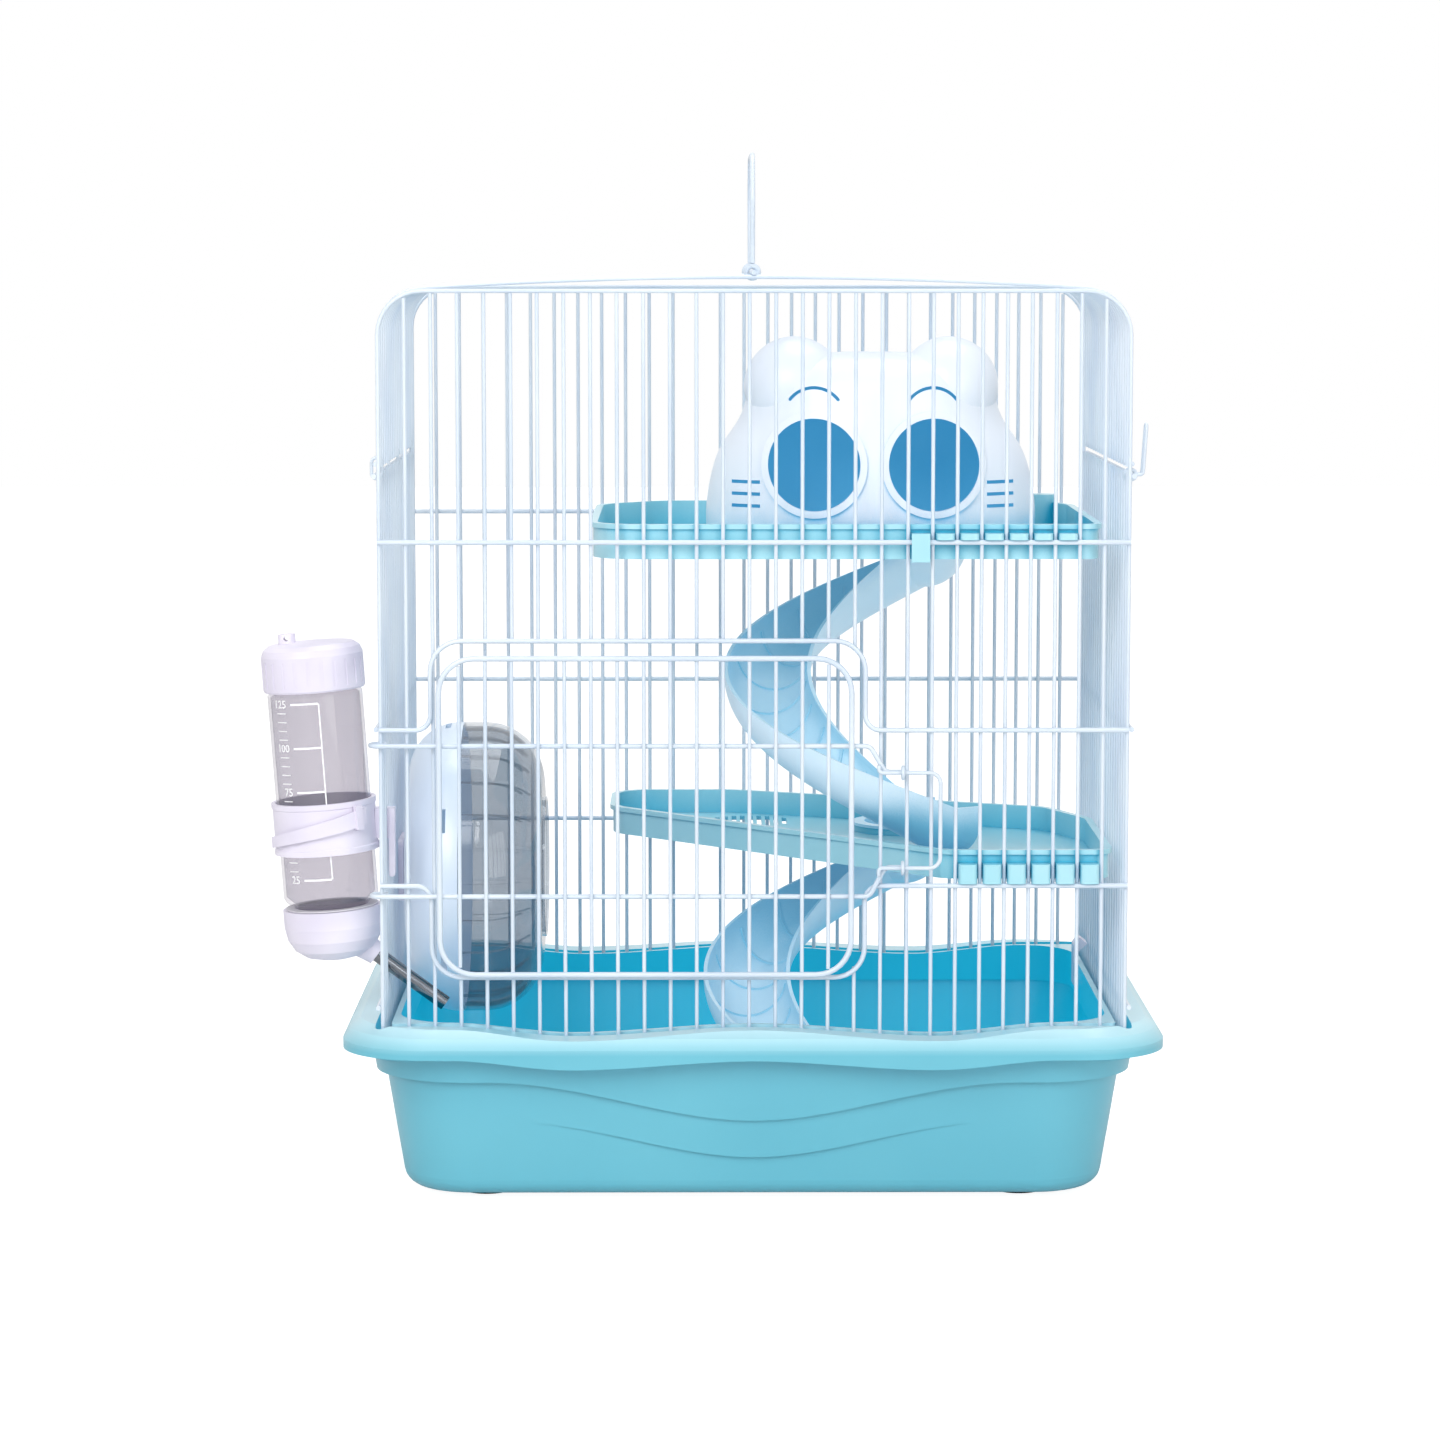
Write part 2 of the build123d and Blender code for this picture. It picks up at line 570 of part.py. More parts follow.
def head(grow):
    """The head's rounded volume with two low ears. grow moves its skin outwards."""
    outline = Spline(*HEAD_OUTLINE, tangents=[(0, 1), (-1, 0)])
    points = []
    for i in range(17):
        outwards = (outline % (i / 16)).rotate(Axis.Z, -90)
        points.append(outline @ (i / 16) + outwards * grow)
    side = Spline(*points, tangents=[(0, 1), (-1, 0)])
    half = make_face(side + Line(side @ 1, (0, 0)) + Line((0, 0), side @ 0))
    wide = revolve(Plane.XZ * half, Axis.Z)
    half_w = HEAD_OUTLINE[0][0] + grow
    shape = scale(wide, by=(1, (HEAD_HALF_D + grow) / half_w, 1))
    for side in (-1, 1):
        ear = scale(Sphere(1), by=(EAR_HALF_W + grow, EAR_HALF_D + grow, EAR_HALF_H + grow))
        shape += Pos(side * EAR_X, EAR_Y, EAR_Z) * ear
    return shape


def house():
    """A front shell with two round eye doors, brows and whisker slots, and a plain back shell."""
    skin, raised = head(0), head(RING_RISE)
    eyes = [Plane(origin=(side * EYE_X, -60, EYE_Z), z_dir=(0, 1, 0)) for side in (-1, 1)]
    for eye_plane in eyes:
        skin += extrude(eye_plane * Circle(EYE_HOLE_R + EYE_RING), amount=45) & raised
    shell = skin - head(-HOUSE_WALL)
    back = shell & Pos(0, HOUSE_SPLIT + 100, 60) * Box(400, 200, 400)
    front = shell & Pos(0, HOUSE_SPLIT - 100, 60) * Box(400, 200, 400)
    for eye_plane in eyes:
        front -= extrude(eye_plane * Circle(EYE_HOLE_R), amount=50)
    for side in (-1, 1):
        brow = ThreePointArc((side * 16.5, 69.6), (side * 28, 75.0), (side * 38.5, 69.6))
        front -= extrude(Plane.XZ * SlotArc(brow, 1.5), amount=60)
        for z in WHISKER_Z:
            front -= Pos(side * 59, -40, z) * Box(13.0, 50, 1.6)
    add("house_front", [Pos(HOUSE_X, HOUSE_Y, HOUSE_Z) * s for s in front.solids()])
    add("house_back", [Pos(HOUSE_X, HOUSE_Y, HOUSE_Z) * s for s in back.solids()])


# ---- drum wheel ----
WHEEL_Y, WHEEL_Z = side_y(9.5), 143.0
WHEEL_R = 70.0
WHEEL_LEFT, WHEEL_RIGHT = -165.3, -100.5
WHEEL_WALL = 2.0
WHEEL_MOUTH_R = 34.0
WHEEL_SEAM = -138.8                 # the opaque half is the narrower one
BACK_CHEEK_R = 24.0
CLEAR_CHEEK_R = 28.0
AXLE_R = 2.5
TREADS = 24
TREAD_TURN = 50.0                   # degrees that a tread follows the roll-over


def about_axle(profile, amount=360):
    """Turn a profile, given as points (x, radius), about the wheel's axle."""
    face = make_face(Polyline(*[(x, r, 0) for x, r in profile], close=True))
    return revolve(face, Axis.X, amount)


def drum_half(outer_x, seam_x, inner_r, cheek_r):
    """Half of the drum: a flat cheek that rolls over into the running surface, open at the seam."""
    out = 1 if outer_x > seam_x else -1
    x_bend = outer_x - out * cheek_r
    r_bend = WHEEL_R - cheek_r
    diagonal = sin(radians(45))
    bend = (x_bend + out * cheek_r * diagonal, r_bend + cheek_r * diagonal)
    outside = (Line((seam_x, WHEEL_R), (x_bend, WHEEL_R))
               + ThreePointArc((x_bend, WHEEL_R), bend, (outer_x, r_bend))
               + Line((outer_x, r_bend), (outer_x, inner_r)))
    r_in, track_r = cheek_r - WHEEL_WALL, WHEEL_R - WHEEL_WALL
    x_in = outer_x - out * WHEEL_WALL
    bend_in = (x_bend + out * r_in * diagonal, r_bend + r_in * diagonal)
    inside = (Line((x_in, inner_r), (x_in, r_bend))
              + ThreePointArc((x_in, r_bend), bend_in, (x_bend, track_r))
              + Line((x_bend, track_r), (seam_x, track_r)))
    ends = Line((outer_x, inner_r), (x_in, inner_r)) + Line((seam_x, track_r), (seam_x, WHEEL_R))
    return revolve(make_face(outside + inside + ends), Axis.X)


def tread():
    """A low rung that runs along the clear half's running surface and part of the way up its roll-over."""
    x_bend, r_bend = WHEEL_RIGHT - CLEAR_CHEEK_R, WHEEL_R - CLEAR_CHEEK_R
    start = WHEEL_SEAM + 0.5

    def on_arc(r, turn):
        return x_bend + r * sin(radians(turn)), r_bend + r * cos(radians(turn))

    foot_r = CLEAR_CHEEK_R - WHEEL_WALL + 0.3
    top_r = foot_r - 1.9
    foot = (Line((start, r_bend + foot_r), (x_bend, r_bend + foot_r))
            + ThreePointArc(on_arc(foot_r, 0), on_arc(foot_r, TREAD_TURN / 2), on_arc(foot_r, TREAD_TURN)))
    end = Line(on_arc(foot_r, TREAD_TURN), on_arc(top_r, TREAD_TURN))
    top = (ThreePointArc(on_arc(top_r, TREAD_TURN), on_arc(top_r, TREAD_TURN / 2), on_arc(top_r, 0))
           + Line((x_bend, r_bend + top_r), (start, r_bend + top_r)))
    edge = foot + end + top + Line((start, r_bend + top_r), (start, r_bend + foot_r))
    return extrude(make_face(edge), amount=0.9, both=True)


def wheel():
    place = Pos(0, WHEEL_Y, WHEEL_Z)
    bore = AXLE_R + 0.08
    back = drum_half(WHEEL_LEFT, WHEEL_SEAM - 0.02, bore, BACK_CHEEK_R)
    boss_end = WHEEL_LEFT + 13.0
    back += about_axle([(WHEEL_LEFT, bore), (boss_end, bore), (boss_end, 8), (WHEEL_LEFT + 1.0, 10)])
    for turn in range(0, 360, 60):
        rib = Pos(WHEEL_LEFT + WHEEL_WALL + 2, 0, 28) * Box(5, 2.0, 40)
        back += Rot(turn, 0, 0) * rib
    # Short slots round the roll-over, one of them level with the eye from the front.
    slot = Pos(-146.0, 0, WHEEL_R - 2) * Box(2.8, 12, 12)
    for turn in range(4, 360, 60):
        back -= Rot(turn, 0, 0) * slot
    add("wheel_back_half", place * back)
    front = drum_half(WHEEL_RIGHT, WHEEL_SEAM + 0.02, WHEEL_MOUTH_R, CLEAR_CHEEK_R)
    rung = tread()
    for i in range(TREADS):
        front += Rot(360 / TREADS * i, 0, 0) * rung
    lip = about_axle([(WHEEL_RIGHT - WHEEL_WALL, WHEEL_MOUTH_R - 2), (WHEEL_RIGHT + 1.5, WHEEL_MOUTH_R - 2),
                      (WHEEL_RIGHT + 1.5, WHEEL_MOUTH_R), (WHEEL_RIGHT - WHEEL_WALL, WHEEL_MOUTH_R)])
    add("wheel_clear_half", place * (front + lip))

    axle_left, axle_right = -X0 - 6.5, WHEEL_LEFT + 17.0
    axle = about_axle([(axle_left, 0), (axle_right, 0), (axle_right, AXLE_R), (axle_left, AXLE_R)])
    add("wheel_axle", place * axle)
    cap_x = boss_end + GAP
    cap = about_axle([(cap_x, AXLE_R), (axle_right, AXLE_R), (axle_right, 0), (cap_x + 6.5, 0),
                      (cap_x + 5.5, 4), (cap_x + 2, 7), (cap_x, 7)])
    add("wheel_hub_cap", place * cap)
    inner_face = -X0 + MESH_D / 2
    plate = Pos(inner_face + 1.2, WHEEL_Y, WHEEL_Z) * Box(2.4, 34, 30)
    plate = fillet(plate.edges().filter_by(Axis.X), 5)
    plate -= Pos(inner_face, WHEEL_Y, WHEEL_Z) * Rot(0, 90, 0) * Cylinder(AXLE_R, 20)
    add("wheel_mount_plate", plate)
    outer_face = -X0 - MESH_D / 2
    nut = about_axle([(outer_face - 4, AXLE_R), (outer_face, AXLE_R), (outer_face, 11), (outer_face - 2, 11),
                      (outer_face - 4, 9)])
    for turn in range(0, 360, 45):
        nut -= Rot(turn, 0, 0) * Pos(outer_face - 2, 0, 12.4) * Rot(0, 90, 0) * Cylinder(2.4, 6)
    add("wheel_mount_nut", place * nut)


# ---- water bottle ----
BOTTLE_Y = side_y(2.5)
BOTTLE_X, BOTTLE_Z = -199.2, 174.5  # middle of the strap ring on the bottle's axis
BOTTLE_LEAN = 4.0                   # the foot leans towards the cage
BOTTLE_R = 22.0
bottle_place = Pos(BOTTLE_X, BOTTLE_Y, BOTTLE_Z) * Rot(0, -BOTTLE_LEAN, 0)


def turned(profile):
    """Turn a profile, given as points (radius, height), about the bottle's axis."""
    return revolve(make_face(Plane.XZ * Polyline(*profile, close=True)), Axis.Z)


def bottle_body():
    r, wall = BOTTLE_R, 1.4
    profile = [(r - 1, -35), (r, -33), (r, 62), (r - 1, 63.4), (r - 1.6, 63.4), (r - 1.6, 75),
               (r - 3.0, 75), (r - 3.0, 62), (r - wall, 61), (r - wall, -32.4), (15.6, -37), (15.6, -50),
               (17, -50), (17, -37.6)]
    add("bottle_body", bottle_place * turned(profile))


def bottle_fill_cap():
    r = BOTTLE_R + 1.6
    profile = [(BOTTLE_R - 1.4, 63.6), (r - 0.6, 63.6), (r, 64.4), (r, 80), (r - 1.2, 83), (r - 4, 85),
               (0, 86.4), (0, 83.6), (r - 5.5, 82), (BOTTLE_R - 1.4, 80)]
    cap = turned(profile)
    for turn in range(0, 360, 15):
        cap -= Rot(0, 0, turn) * Pos(r + 0.5, 0, 72) * Box(1.6, 1.4, 12)
    nub = Pos(-11, 0, 84) * (Cylinder(4, 6, align=MIN_Z) - Pos(0, 0, 4) * Rot(90, 0, 0) * Cylinder(1.2, 20))
    add("bottle_fill_cap", bottle_place * (cap + nub))


NOZZLE_FROM = Vector(5.5, 0, -51.0)     # on the bottle's own axes
NOZZLE_TO = Vector(17.0, 0, -60.8)
TUBE_TIP = Vector(49.2, 0, -88.15)
TUBE_R = 3.5


def rod(start, end, r, r_end=None):
    length = (end - start).length
    plane = Plane(origin=start, z_dir=end - start)
    if r_end is None:
        return extrude(plane * Circle(r), amount=length)
    return loft([plane * Circle(r), plane.offset(length) * Circle(r_end)])


def bottle_foot():
    """Sealing ring, domed lower cap with its nozzle, the steel tube and the ball in the tube's mouth."""
    add("bottle_seal", bottle_place * turned([(17.1, -38.4), (21.4, -38.4), (21.4, -37.8), (17.1, -37.8)]))
    outside = [(22.8, -38.6), (22.8, -47), (21.6, -53), (18.6, -58), (13.5, -61.5), (7, -63), (0, -63.4)]
    inside = [(0, -61.4), (7, -61), (12.6, -59.6), (17.0, -56.4), (19.0, -51), (17.15, -50.2), (17.15, -38.6)]
    dome = turned(outside + inside)
    direction = (TUBE_TIP - NOZZLE_TO).normalized()
    nozzle = rod(NOZZLE_FROM, NOZZLE_TO + direction * 3, 8.2, 5.2)
    dome = dome + (nozzle - turned(inside + [(0, -38.6)]))
    dome -= rod(NOZZLE_TO - direction * 8, NOZZLE_TO + direction * 30, TUBE_R)
    add("bottle_foot_cap", bottle_place * dome.solids().sort_by(SortBy.VOLUME)[-1])
    tube = rod(NOZZLE_TO - direction * 8, TUBE_TIP, TUBE_R)
    tube -= rod(NOZZLE_TO - direction * 9, TUBE_TIP - direction * 1.0, TUBE_R - 0.7)
    tube -= rod(TUBE_TIP - direction * 2, TUBE_TIP + direction * 2, 2.2)
    add("spout_tube", bottle_place * tube)
    ball_r = 2.6
    back_off = sqrt(ball_r**2 - 2.2**2)
    centre = TUBE_TIP - direction * (1.0 + back_off + 0.25)
    add("spout_ball", bottle_place * (Pos(centre) * Sphere(ball_r)))


def bottle_strap():
    """The ring round the bottle, and the hook that goes between two uprights and down behind them."""
    r_in = BOTTLE_R + 0.35
    band = turned([(r_in, -12), (r_in + 2, -12), (r_in + 2, -9.6), (r_in + 1.5, -9), (r_in + 1.5, 9),
                   (r_in + 2, 9.6), (r_in + 2, 12), (r_in, 12)])
    add("strap_ring", bottle_place * band)
    inner = -X0 + MESH_D / 2
    web_left = BOTTLE_X + r_in + 1.0
    web = Pos((web_left + inner + 3.4) / 2, BOTTLE_Y, BOTTLE_Z + 1) * Box(inner + 3.4 - web_left, 8.0, 14)
    claw = Pos(inner + 2.0, BOTTLE_Y, BOTTLE_Z - 8) * Box(2.8, 8.0, 32)
    claw = fillet(claw.edges().filter_by(Axis.Y), 1.2)
    hook = web + claw
    hook -= bottle_place * Cylinder(r_in + 1.5, 60)
    add("strap_hook", hook)


front_panel()
back_panel()
side_panel("left", -1)
side_panel("right", 1)
roof_hood()
hinge_rings()
roof_latch()
handle()
door()
door_latch()
tray()
tray_feet()
tray_clips()
upper_shelf()
lower_shelf()
slides()
house()
wheel()
bottle_body()
bottle_fill_cap()
bottle_foot()
bottle_strap()


# ---- write the nodes ----
os.makedirs("parts", exist_ok=True)
boxes = [s.bounding_box() for solids in parts.values() for s in solids]
low = Vector(min(b.min.X for b in boxes), min(b.min.Y for b in boxes), min(b.min.Z for b in boxes))
high = Vector(max(b.max.X for b in boxes), max(b.max.Y for b in boxes), max(b.max.Z for b in boxes))
shift = Pos(-(low.X + high.X) / 2, -(low.Y + high.Y) / 2, -low.Z)
print("size", (high - low), "shift", shift.position)
for node, solids in parts.items():
    moved = [shift * s for s in solids]
    export_step(moved[0] if len(moved) == 1 else Compound(children=moved), f"parts/{node}.step")
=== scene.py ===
from math import cos, degrees, pi, radians, sin, tan

import bmesh
import bpy
from bpy.props import FloatProperty, FloatVectorProperty, PointerProperty
from mathutils import Matrix, Vector


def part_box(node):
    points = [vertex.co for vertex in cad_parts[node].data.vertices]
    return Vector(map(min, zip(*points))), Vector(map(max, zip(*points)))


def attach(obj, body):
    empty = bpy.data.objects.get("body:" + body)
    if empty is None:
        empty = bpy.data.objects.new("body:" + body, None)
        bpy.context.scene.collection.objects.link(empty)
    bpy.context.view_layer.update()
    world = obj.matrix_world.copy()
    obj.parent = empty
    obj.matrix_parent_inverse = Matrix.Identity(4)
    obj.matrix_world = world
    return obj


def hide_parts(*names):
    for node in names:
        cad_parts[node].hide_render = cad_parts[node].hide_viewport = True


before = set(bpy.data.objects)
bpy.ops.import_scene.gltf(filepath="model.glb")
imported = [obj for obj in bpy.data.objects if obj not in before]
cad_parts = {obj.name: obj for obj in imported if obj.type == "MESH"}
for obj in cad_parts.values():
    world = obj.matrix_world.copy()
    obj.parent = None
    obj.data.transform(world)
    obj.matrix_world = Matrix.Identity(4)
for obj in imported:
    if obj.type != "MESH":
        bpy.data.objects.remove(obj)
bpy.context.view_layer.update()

bl_info = {
    "name": "Hamster Cage",
    "version": (1, 0, 0),
    "blender": (4, 5, 0),
    "location": "View3D > Sidebar > Cage",
    "description": "Dresses the packed cage: smooth wires, moulded plastic, clear wheel and bottle",
    "category": "Add Mesh",
}

# Places are given in millimetres about the middle of the wire cage, as in the part's source.
MM = 0.001
wire_low, wire_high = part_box("front_frame_wire")
CAGE_MIDDLE = (wire_low.x + wire_high.x) / 2


def at(x, y, z):
    """A place on the cage, in millimetres, as a point in the shared frame."""
    return Vector((x * MM + CAGE_MIDDLE, y * MM, z * MM))


def side_y(k):
    """Y of roof hoop number k, counted from the front."""
    return -Y0 + k * SIDE_PITCH


# ---- driving dimensions, in millimetres ----
CAGE_W = 342.0
CAGE_D = 234.0
CAGE_TOP = 422.0
ROOF_APEX = 433.0         # where the two straight halves of a roof hoop would meet
ROOF_BEND = 2350.0        # their bend across the middle
CORNER_R = 20.0
WIRE_FOOT = 73.0
SEAM_LOW = 338.0
X0, Y0 = CAGE_W / 2, CAGE_D / 2
SIDE_PITCH = CAGE_D / 20

OPEN_L, OPEN_R = -148.0, 50.9       # sides of the door opening
OPEN_BEND = 14.0
DOOR_MIDDLE = 200.0                 # parts the wire over the opening from the one under it
FLARE = 7.0
DOOR_BEND = 16.0
HOOK_R = 4.6                        # door hooks round the left leg of the border
HOOK_TAIL = 2.5                     # how far the hook's end passes the leg
RAIL_Z = (215.0, 145.5)             # the door's two hinge wires
TONGUE_Z = (203.0, 159.0)           # where they go on behind the latch
STEP_X = 53.0
STEP_RUN = 7.0                      # the slope between the two heights
STEP_BEND = 4.0
TONGUE_END = 68.0
LATCH_L, LATCH_R = 57.0, 85.2
LATCH_TIP = 3.4
LATCH_BENDS = (1.8, 5.0, 5.0, 1.8)

RING_R = 2.35                       # centre line of the hinge rings' and latch eyes' wire
FINGER_OUT = 7.0                    # the roof latch's loop: its outside and its bend, from the seam
FINGER_BEND_X = 5.5
FINGER_BENDS = (1.5, 2.4, 2.4, 1.5)
EYE_R = 2.85                        # centre line of the handle's eyes
EYE_GAP = 1.3                       # from an eye up to the handle's leg
HANDLE_TOP = 485.0
HANDLE_K = 6.5                      # the handle's eyes, counted in hoops from the front
HANDLE_LEG = 9.0
HANDLE_OUT, HANDLE_DROP = 8.0, 18.0  # the grip's shoulder: out from the leg and below the top
HANDLE_IN = 6.0                     # the grip's corner, in from the leg
HANDLE_BENDS = (8.0, 12.0, 12.0, 12.0, 12.0, 8.0)

# Round the bottle, turns are in degrees from +X and heights run along its axis.
BOTTLE_MIDDLE = (-199.2, -87.75, 174.5)
BOTTLE_LEAN = 4.0                   # degrees; the foot leans towards the cage
BOTTLE_R = 22.0
INK_BACK, INK_FRONT = BOTTLE_R - 0.05, BOTTLE_R + 0.12
SCALE_TURN = -80.5                  # the printed scale's upright line faces the front
SCALE_LOW, SCALE_HIGH = -23.0, 58.8
SCALE_LINE = -1.6                   # the upright line's left edge, from its right one
LONG_MARK = (SCALE_LINE, -36.0, 0.9)   # right end, left end and thickness
SHORT_MARK = (-44.0, -58.0, 0.4)
SCALE_STEPS = 5                     # small marks from one number to the next
SCALE_GAPS = 4                      # long gaps, so one number more
SCALE_ML = 25                       # millilitres from one number to the next
NUMBER_TURN = -42.0
NUMBER_H = 5.2
STRAP_R = BOTTLE_R + 3.4
STRAP_TURNS = (-158.0, -38.0)       # the strap's tongue, from its root to its tip
STRAP_LOWS, STRAP_HIGHS = (-8.0, 1.0), (-3.0, 9.0)
CATCH_TURNS = (-52.0, -44.0)
CATCH_LOW, CATCH_HIGH = -1.0, 10.0
STRAP_SINK = 0.6                    # how far tongue and catch reach into the ring
STRAP_RISE, CATCH_RISE = 1.0, 1.8

# ---- stage, in metres ----
LAMPS = (  # name, place, watts, size
    ("key", (-1.0, -2.5, 1.7), 44, 1.6),
    ("fill", (1.5, -2.5, 0.9), 22, 1.8),
    ("top", (0.3, 0.6, 2.6), 24, 1.6),
)
LAMP_AIM = (0.0, 0.0, 0.22)
FLOOR_HALF = 6.0
SKY_LIGHT, SKY_SEEN = 0.5, 1.0      # the world's strength as light and as a backdrop
FLOOR_LIFT = 0.94                   # glow that the camera sees on the floor
CAMERA_PLACE = (-0.00661, -2.05304, 0.43836)
CAMERA_TURN = (radians(90 - 6.245), 0.0, -0.005)
CAMERA_LENS, CAMERA_SENSOR = 106.35, 36.0


# ---- colour and nodes ----
BLACK = (0.0, 0.0, 0.0, 1.0)
WHITE = (1.0, 1.0, 1.0, 1.0)


def hex_colour(text):
    """A hex sRGB colour as the linear RGBA that Blender works in."""
    channels = [int(text[i:i + 2], 16) / 255 for i in (1, 3, 5)]
    linear = [c / 12.92 if c <= 0.04045 else ((c + 0.055) / 1.055) ** 2.4 for c in channels]
    return (*linear, 1.0)


def add_node(tree, kind, inputs=None, **settings):
    """One node with its settings; a socket given as an input is linked, a value is set."""
    node = tree.nodes.new(kind)
    for name, value in settings.items():
        setattr(node, name, value)
    for name, value in (inputs or {}).items():
        if isinstance(value, bpy.types.NodeSocket):
            tree.links.new(value, node.inputs[name])
        else:
            node.inputs[name].default_value = value
    return node


def make_material(name, shade):
    """A material by its name; shade adds its nodes to a tree and returns the shader that ends them."""
    material = bpy.data.materials.get(name)
    if not material:
        material = bpy.data.materials.new(name)
        material.use_nodes = True
        material.node_tree.nodes.clear()
        add_node(material.node_tree, "ShaderNodeOutputMaterial", {"Surface": shade(material.node_tree)})
    return material


def grain_bump(tree, size_mm, height_mm):
    """Fine relief of a moulded or coated surface, by its grain size and height."""
    place = add_node(tree, "ShaderNodeTexCoord").outputs["Object"]
    grain = add_node(tree, "ShaderNodeTexNoise", {"Vector": place, "Scale": 1 / (size_mm * MM),
                                                  "Detail": 2.0})
    return add_node(tree, "ShaderNodeBump", {"Height": grain.outputs["Fac"], "Distance": height_mm * MM,
                                             "Strength": 1.0}).outputs["Normal"]


def tone_shift(tree, colour, other, size_mm):
    """Slow change between two colours, as thickness and flow give in a moulding."""
    place = add_node(tree, "ShaderNodeTexCoord").outputs["Object"]
    flow = add_node(tree, "ShaderNodeTexNoise", {"Vector": place, "Scale": 1 / (size_mm * MM),
                                                 "Detail": 1.0})
    share = add_node(tree, "ShaderNodeMapRange", {"Value": flow.outputs["Fac"], "From Min": 0.35,
                                                  "From Max": 0.65}).outputs["Result"]
    mix = add_node(tree, "ShaderNodeMix", {"Factor": share, 6: colour, 7: other}, data_type="RGBA")
    return mix.outputs[2]


def painted_shade_share(tree, reach_mm, open_air, closed_air):
    """Mask of painted shade: 0 on open faces, 1 deep in a hollow, by how much air lies within reach."""
    air = add_node(tree, "ShaderNodeAmbientOcclusion", {"Distance": reach_mm * MM}).outputs["AO"]
    return add_node(tree, "ShaderNodeMapRange", {"Value": air, "From Min": open_air,
                                                 "From Max": closed_air}).outputs["Result"]


def facing_in(tree, full_mm):
    """0 on walls that face away from the upright axis, 1 on walls at least full_mm off it that face it."""
    coords = add_node(tree, "ShaderNodeTexCoord")
    inwards = add_node(tree, "ShaderNodeVectorMath", {0: coords.outputs["Object"], 1: (-1.0, -1.0, 0.0)},
                       operation="MULTIPLY").outputs["Vector"]
    towards = add_node(tree, "ShaderNodeVectorMath", {0: inwards, 1: coords.outputs["Normal"]},
                       operation="DOT_PRODUCT").outputs["Value"]
    return add_node(tree, "ShaderNodeMapRange", {"Value": towards, "From Min": 0.0,
                                                 "From Max": full_mm * MM}).outputs["Result"]


# ---- materials ----
def powder_coat(look):
    """Steel wire with a baked white powder coat: glossy, with a faint orange peel."""
    def shade(tree):
        return add_node(tree, "ShaderNodeBsdfPrincipled", {
            "Base Color": tone_shift(tree, look.wire, hex_colour("#CFDCEB"), 60),
            "Roughness": 0.32, "IOR": 1.5, "Coat Weight": 0.3, "Coat Roughness": 0.15,
            "Normal": grain_bump(tree, 1.2, 0.02)}).outputs[0]
    return make_material("powder_coated_wire", shade)


def tray_plastic(look):
    """Glossy moulded polystyrene; its top edge is painted paler as a highlight, its inner walls are painted a
    deeper blue, and a painted glow fills its hollow.
    """
    def shade(tree):
        place = add_node(tree, "ShaderNodeTexCoord").outputs["Object"]
        height = add_node(tree, "ShaderNodeSeparateXYZ", {"Vector": place}).outputs["Z"]
        # Painted highlight: from 74 to 84 mm up the tray is painted paler, as its top edge takes the light
        # from above.
        lit_rim = add_node(tree, "ShaderNodeMapRange", {"Value": height, "From Min": 74 * MM,
                                                    "From Max": 84 * MM}).outputs["Result"]
        wall = tone_shift(tree, look.tray, hex_colour("#66BACE"), 90)
        outside = add_node(tree, "ShaderNodeMix", {"Factor": lit_rim, 6: wall, 7: look.lit_rim}, data_type="RGBA")
        # Painted light: walls that face the tray's middle are painted a deeper blue for light bounced in the
        # hollow, and given a painted glow by emission.
        inside = facing_in(tree, 40)
        colour = add_node(tree, "ShaderNodeMix", {"Factor": inside, 6: outside.outputs[2], 7: look.tray_painted_shade},
                          data_type="RGBA")
        through_and_painted_glow = add_node(tree, "ShaderNodeMix", {"Factor": inside, 6: BLACK, 7: hex_colour("#006878")},
                           data_type="RGBA")
        return add_node(tree, "ShaderNodeBsdfPrincipled", {
            "Base Color": colour.outputs[2], "Emission Color": through_and_painted_glow.outputs[2], "Emission Strength": 1.0,
            "Roughness": 0.34, "IOR": 1.55, "Coat Weight": 0.25, "Coat Roughness": 0.2,
            "Normal": grain_bump(tree, 2.5, 0.02)}).outputs[0]
    return make_material("tray_polystyrene", shade)


def shelf_plastic(look):
    """The shelves' thinner moulding of the same polystyrene, painted paler as a highlight from the light
    above, with painted shade of a deeper colour in its corners.
    """
    def shade(tree):
        # Painted highlight: the shelves' base colour is the tray's plastic painted paler, as lit from above.
        wall = tone_shift(tree, look.lit_shelf, hex_colour("#A2DAE7"), 70)
        # Painted shade: corners with little air within 40 mm are painted the tray's deeper blue.
        colour = add_node(tree, "ShaderNodeMix", {"Factor": painted_shade_share(tree, 40, 0.8, 0.35), 6: wall,
                                                  7: look.tray_painted_shade}, data_type="RGBA")
        return add_node(tree, "ShaderNodeBsdfPrincipled", {
            "Base Color": colour.outputs[2], "Roughness": 0.3, "IOR": 1.55, "Coat Weight": 0.3,
            "Coat Roughness": 0.15, "Normal": grain_bump(tree, 2.5, 0.015)}).outputs[0]
    return make_material("shelf_polystyrene", shade)


def slide_plastic(look):
    """Moulded pale blue polypropylene, with a faint painted glow all over and a bluer painted shade in its
    own hollows.
    """
    def shade(tree):
        wall = tone_shift(tree, look.slide, hex_colour("#D2E5F0"), 80)
        # Painted shade: the slides' hollows are painted bluer.
        colour = add_node(tree, "ShaderNodeMix", {"Factor": painted_shade_share(tree, 70, 0.75, 0.3), 6: wall,
                                                  7: look.slide_painted_shade}, data_type="RGBA")
        return add_node(tree, "ShaderNodeBsdfPrincipled", {
            "Base Color": colour.outputs[2],
            # Painted glow: a faint even emission lightens the slides all over.
            "Emission Color": hex_colour("#455E6C"), "Emission Strength": 1.0,
            "Roughness": 0.3, "IOR": 1.5, "Normal": grain_bump(tree, 3, 0.015)}).outputs[0]
    return make_material("slide_polypropylene", shade)


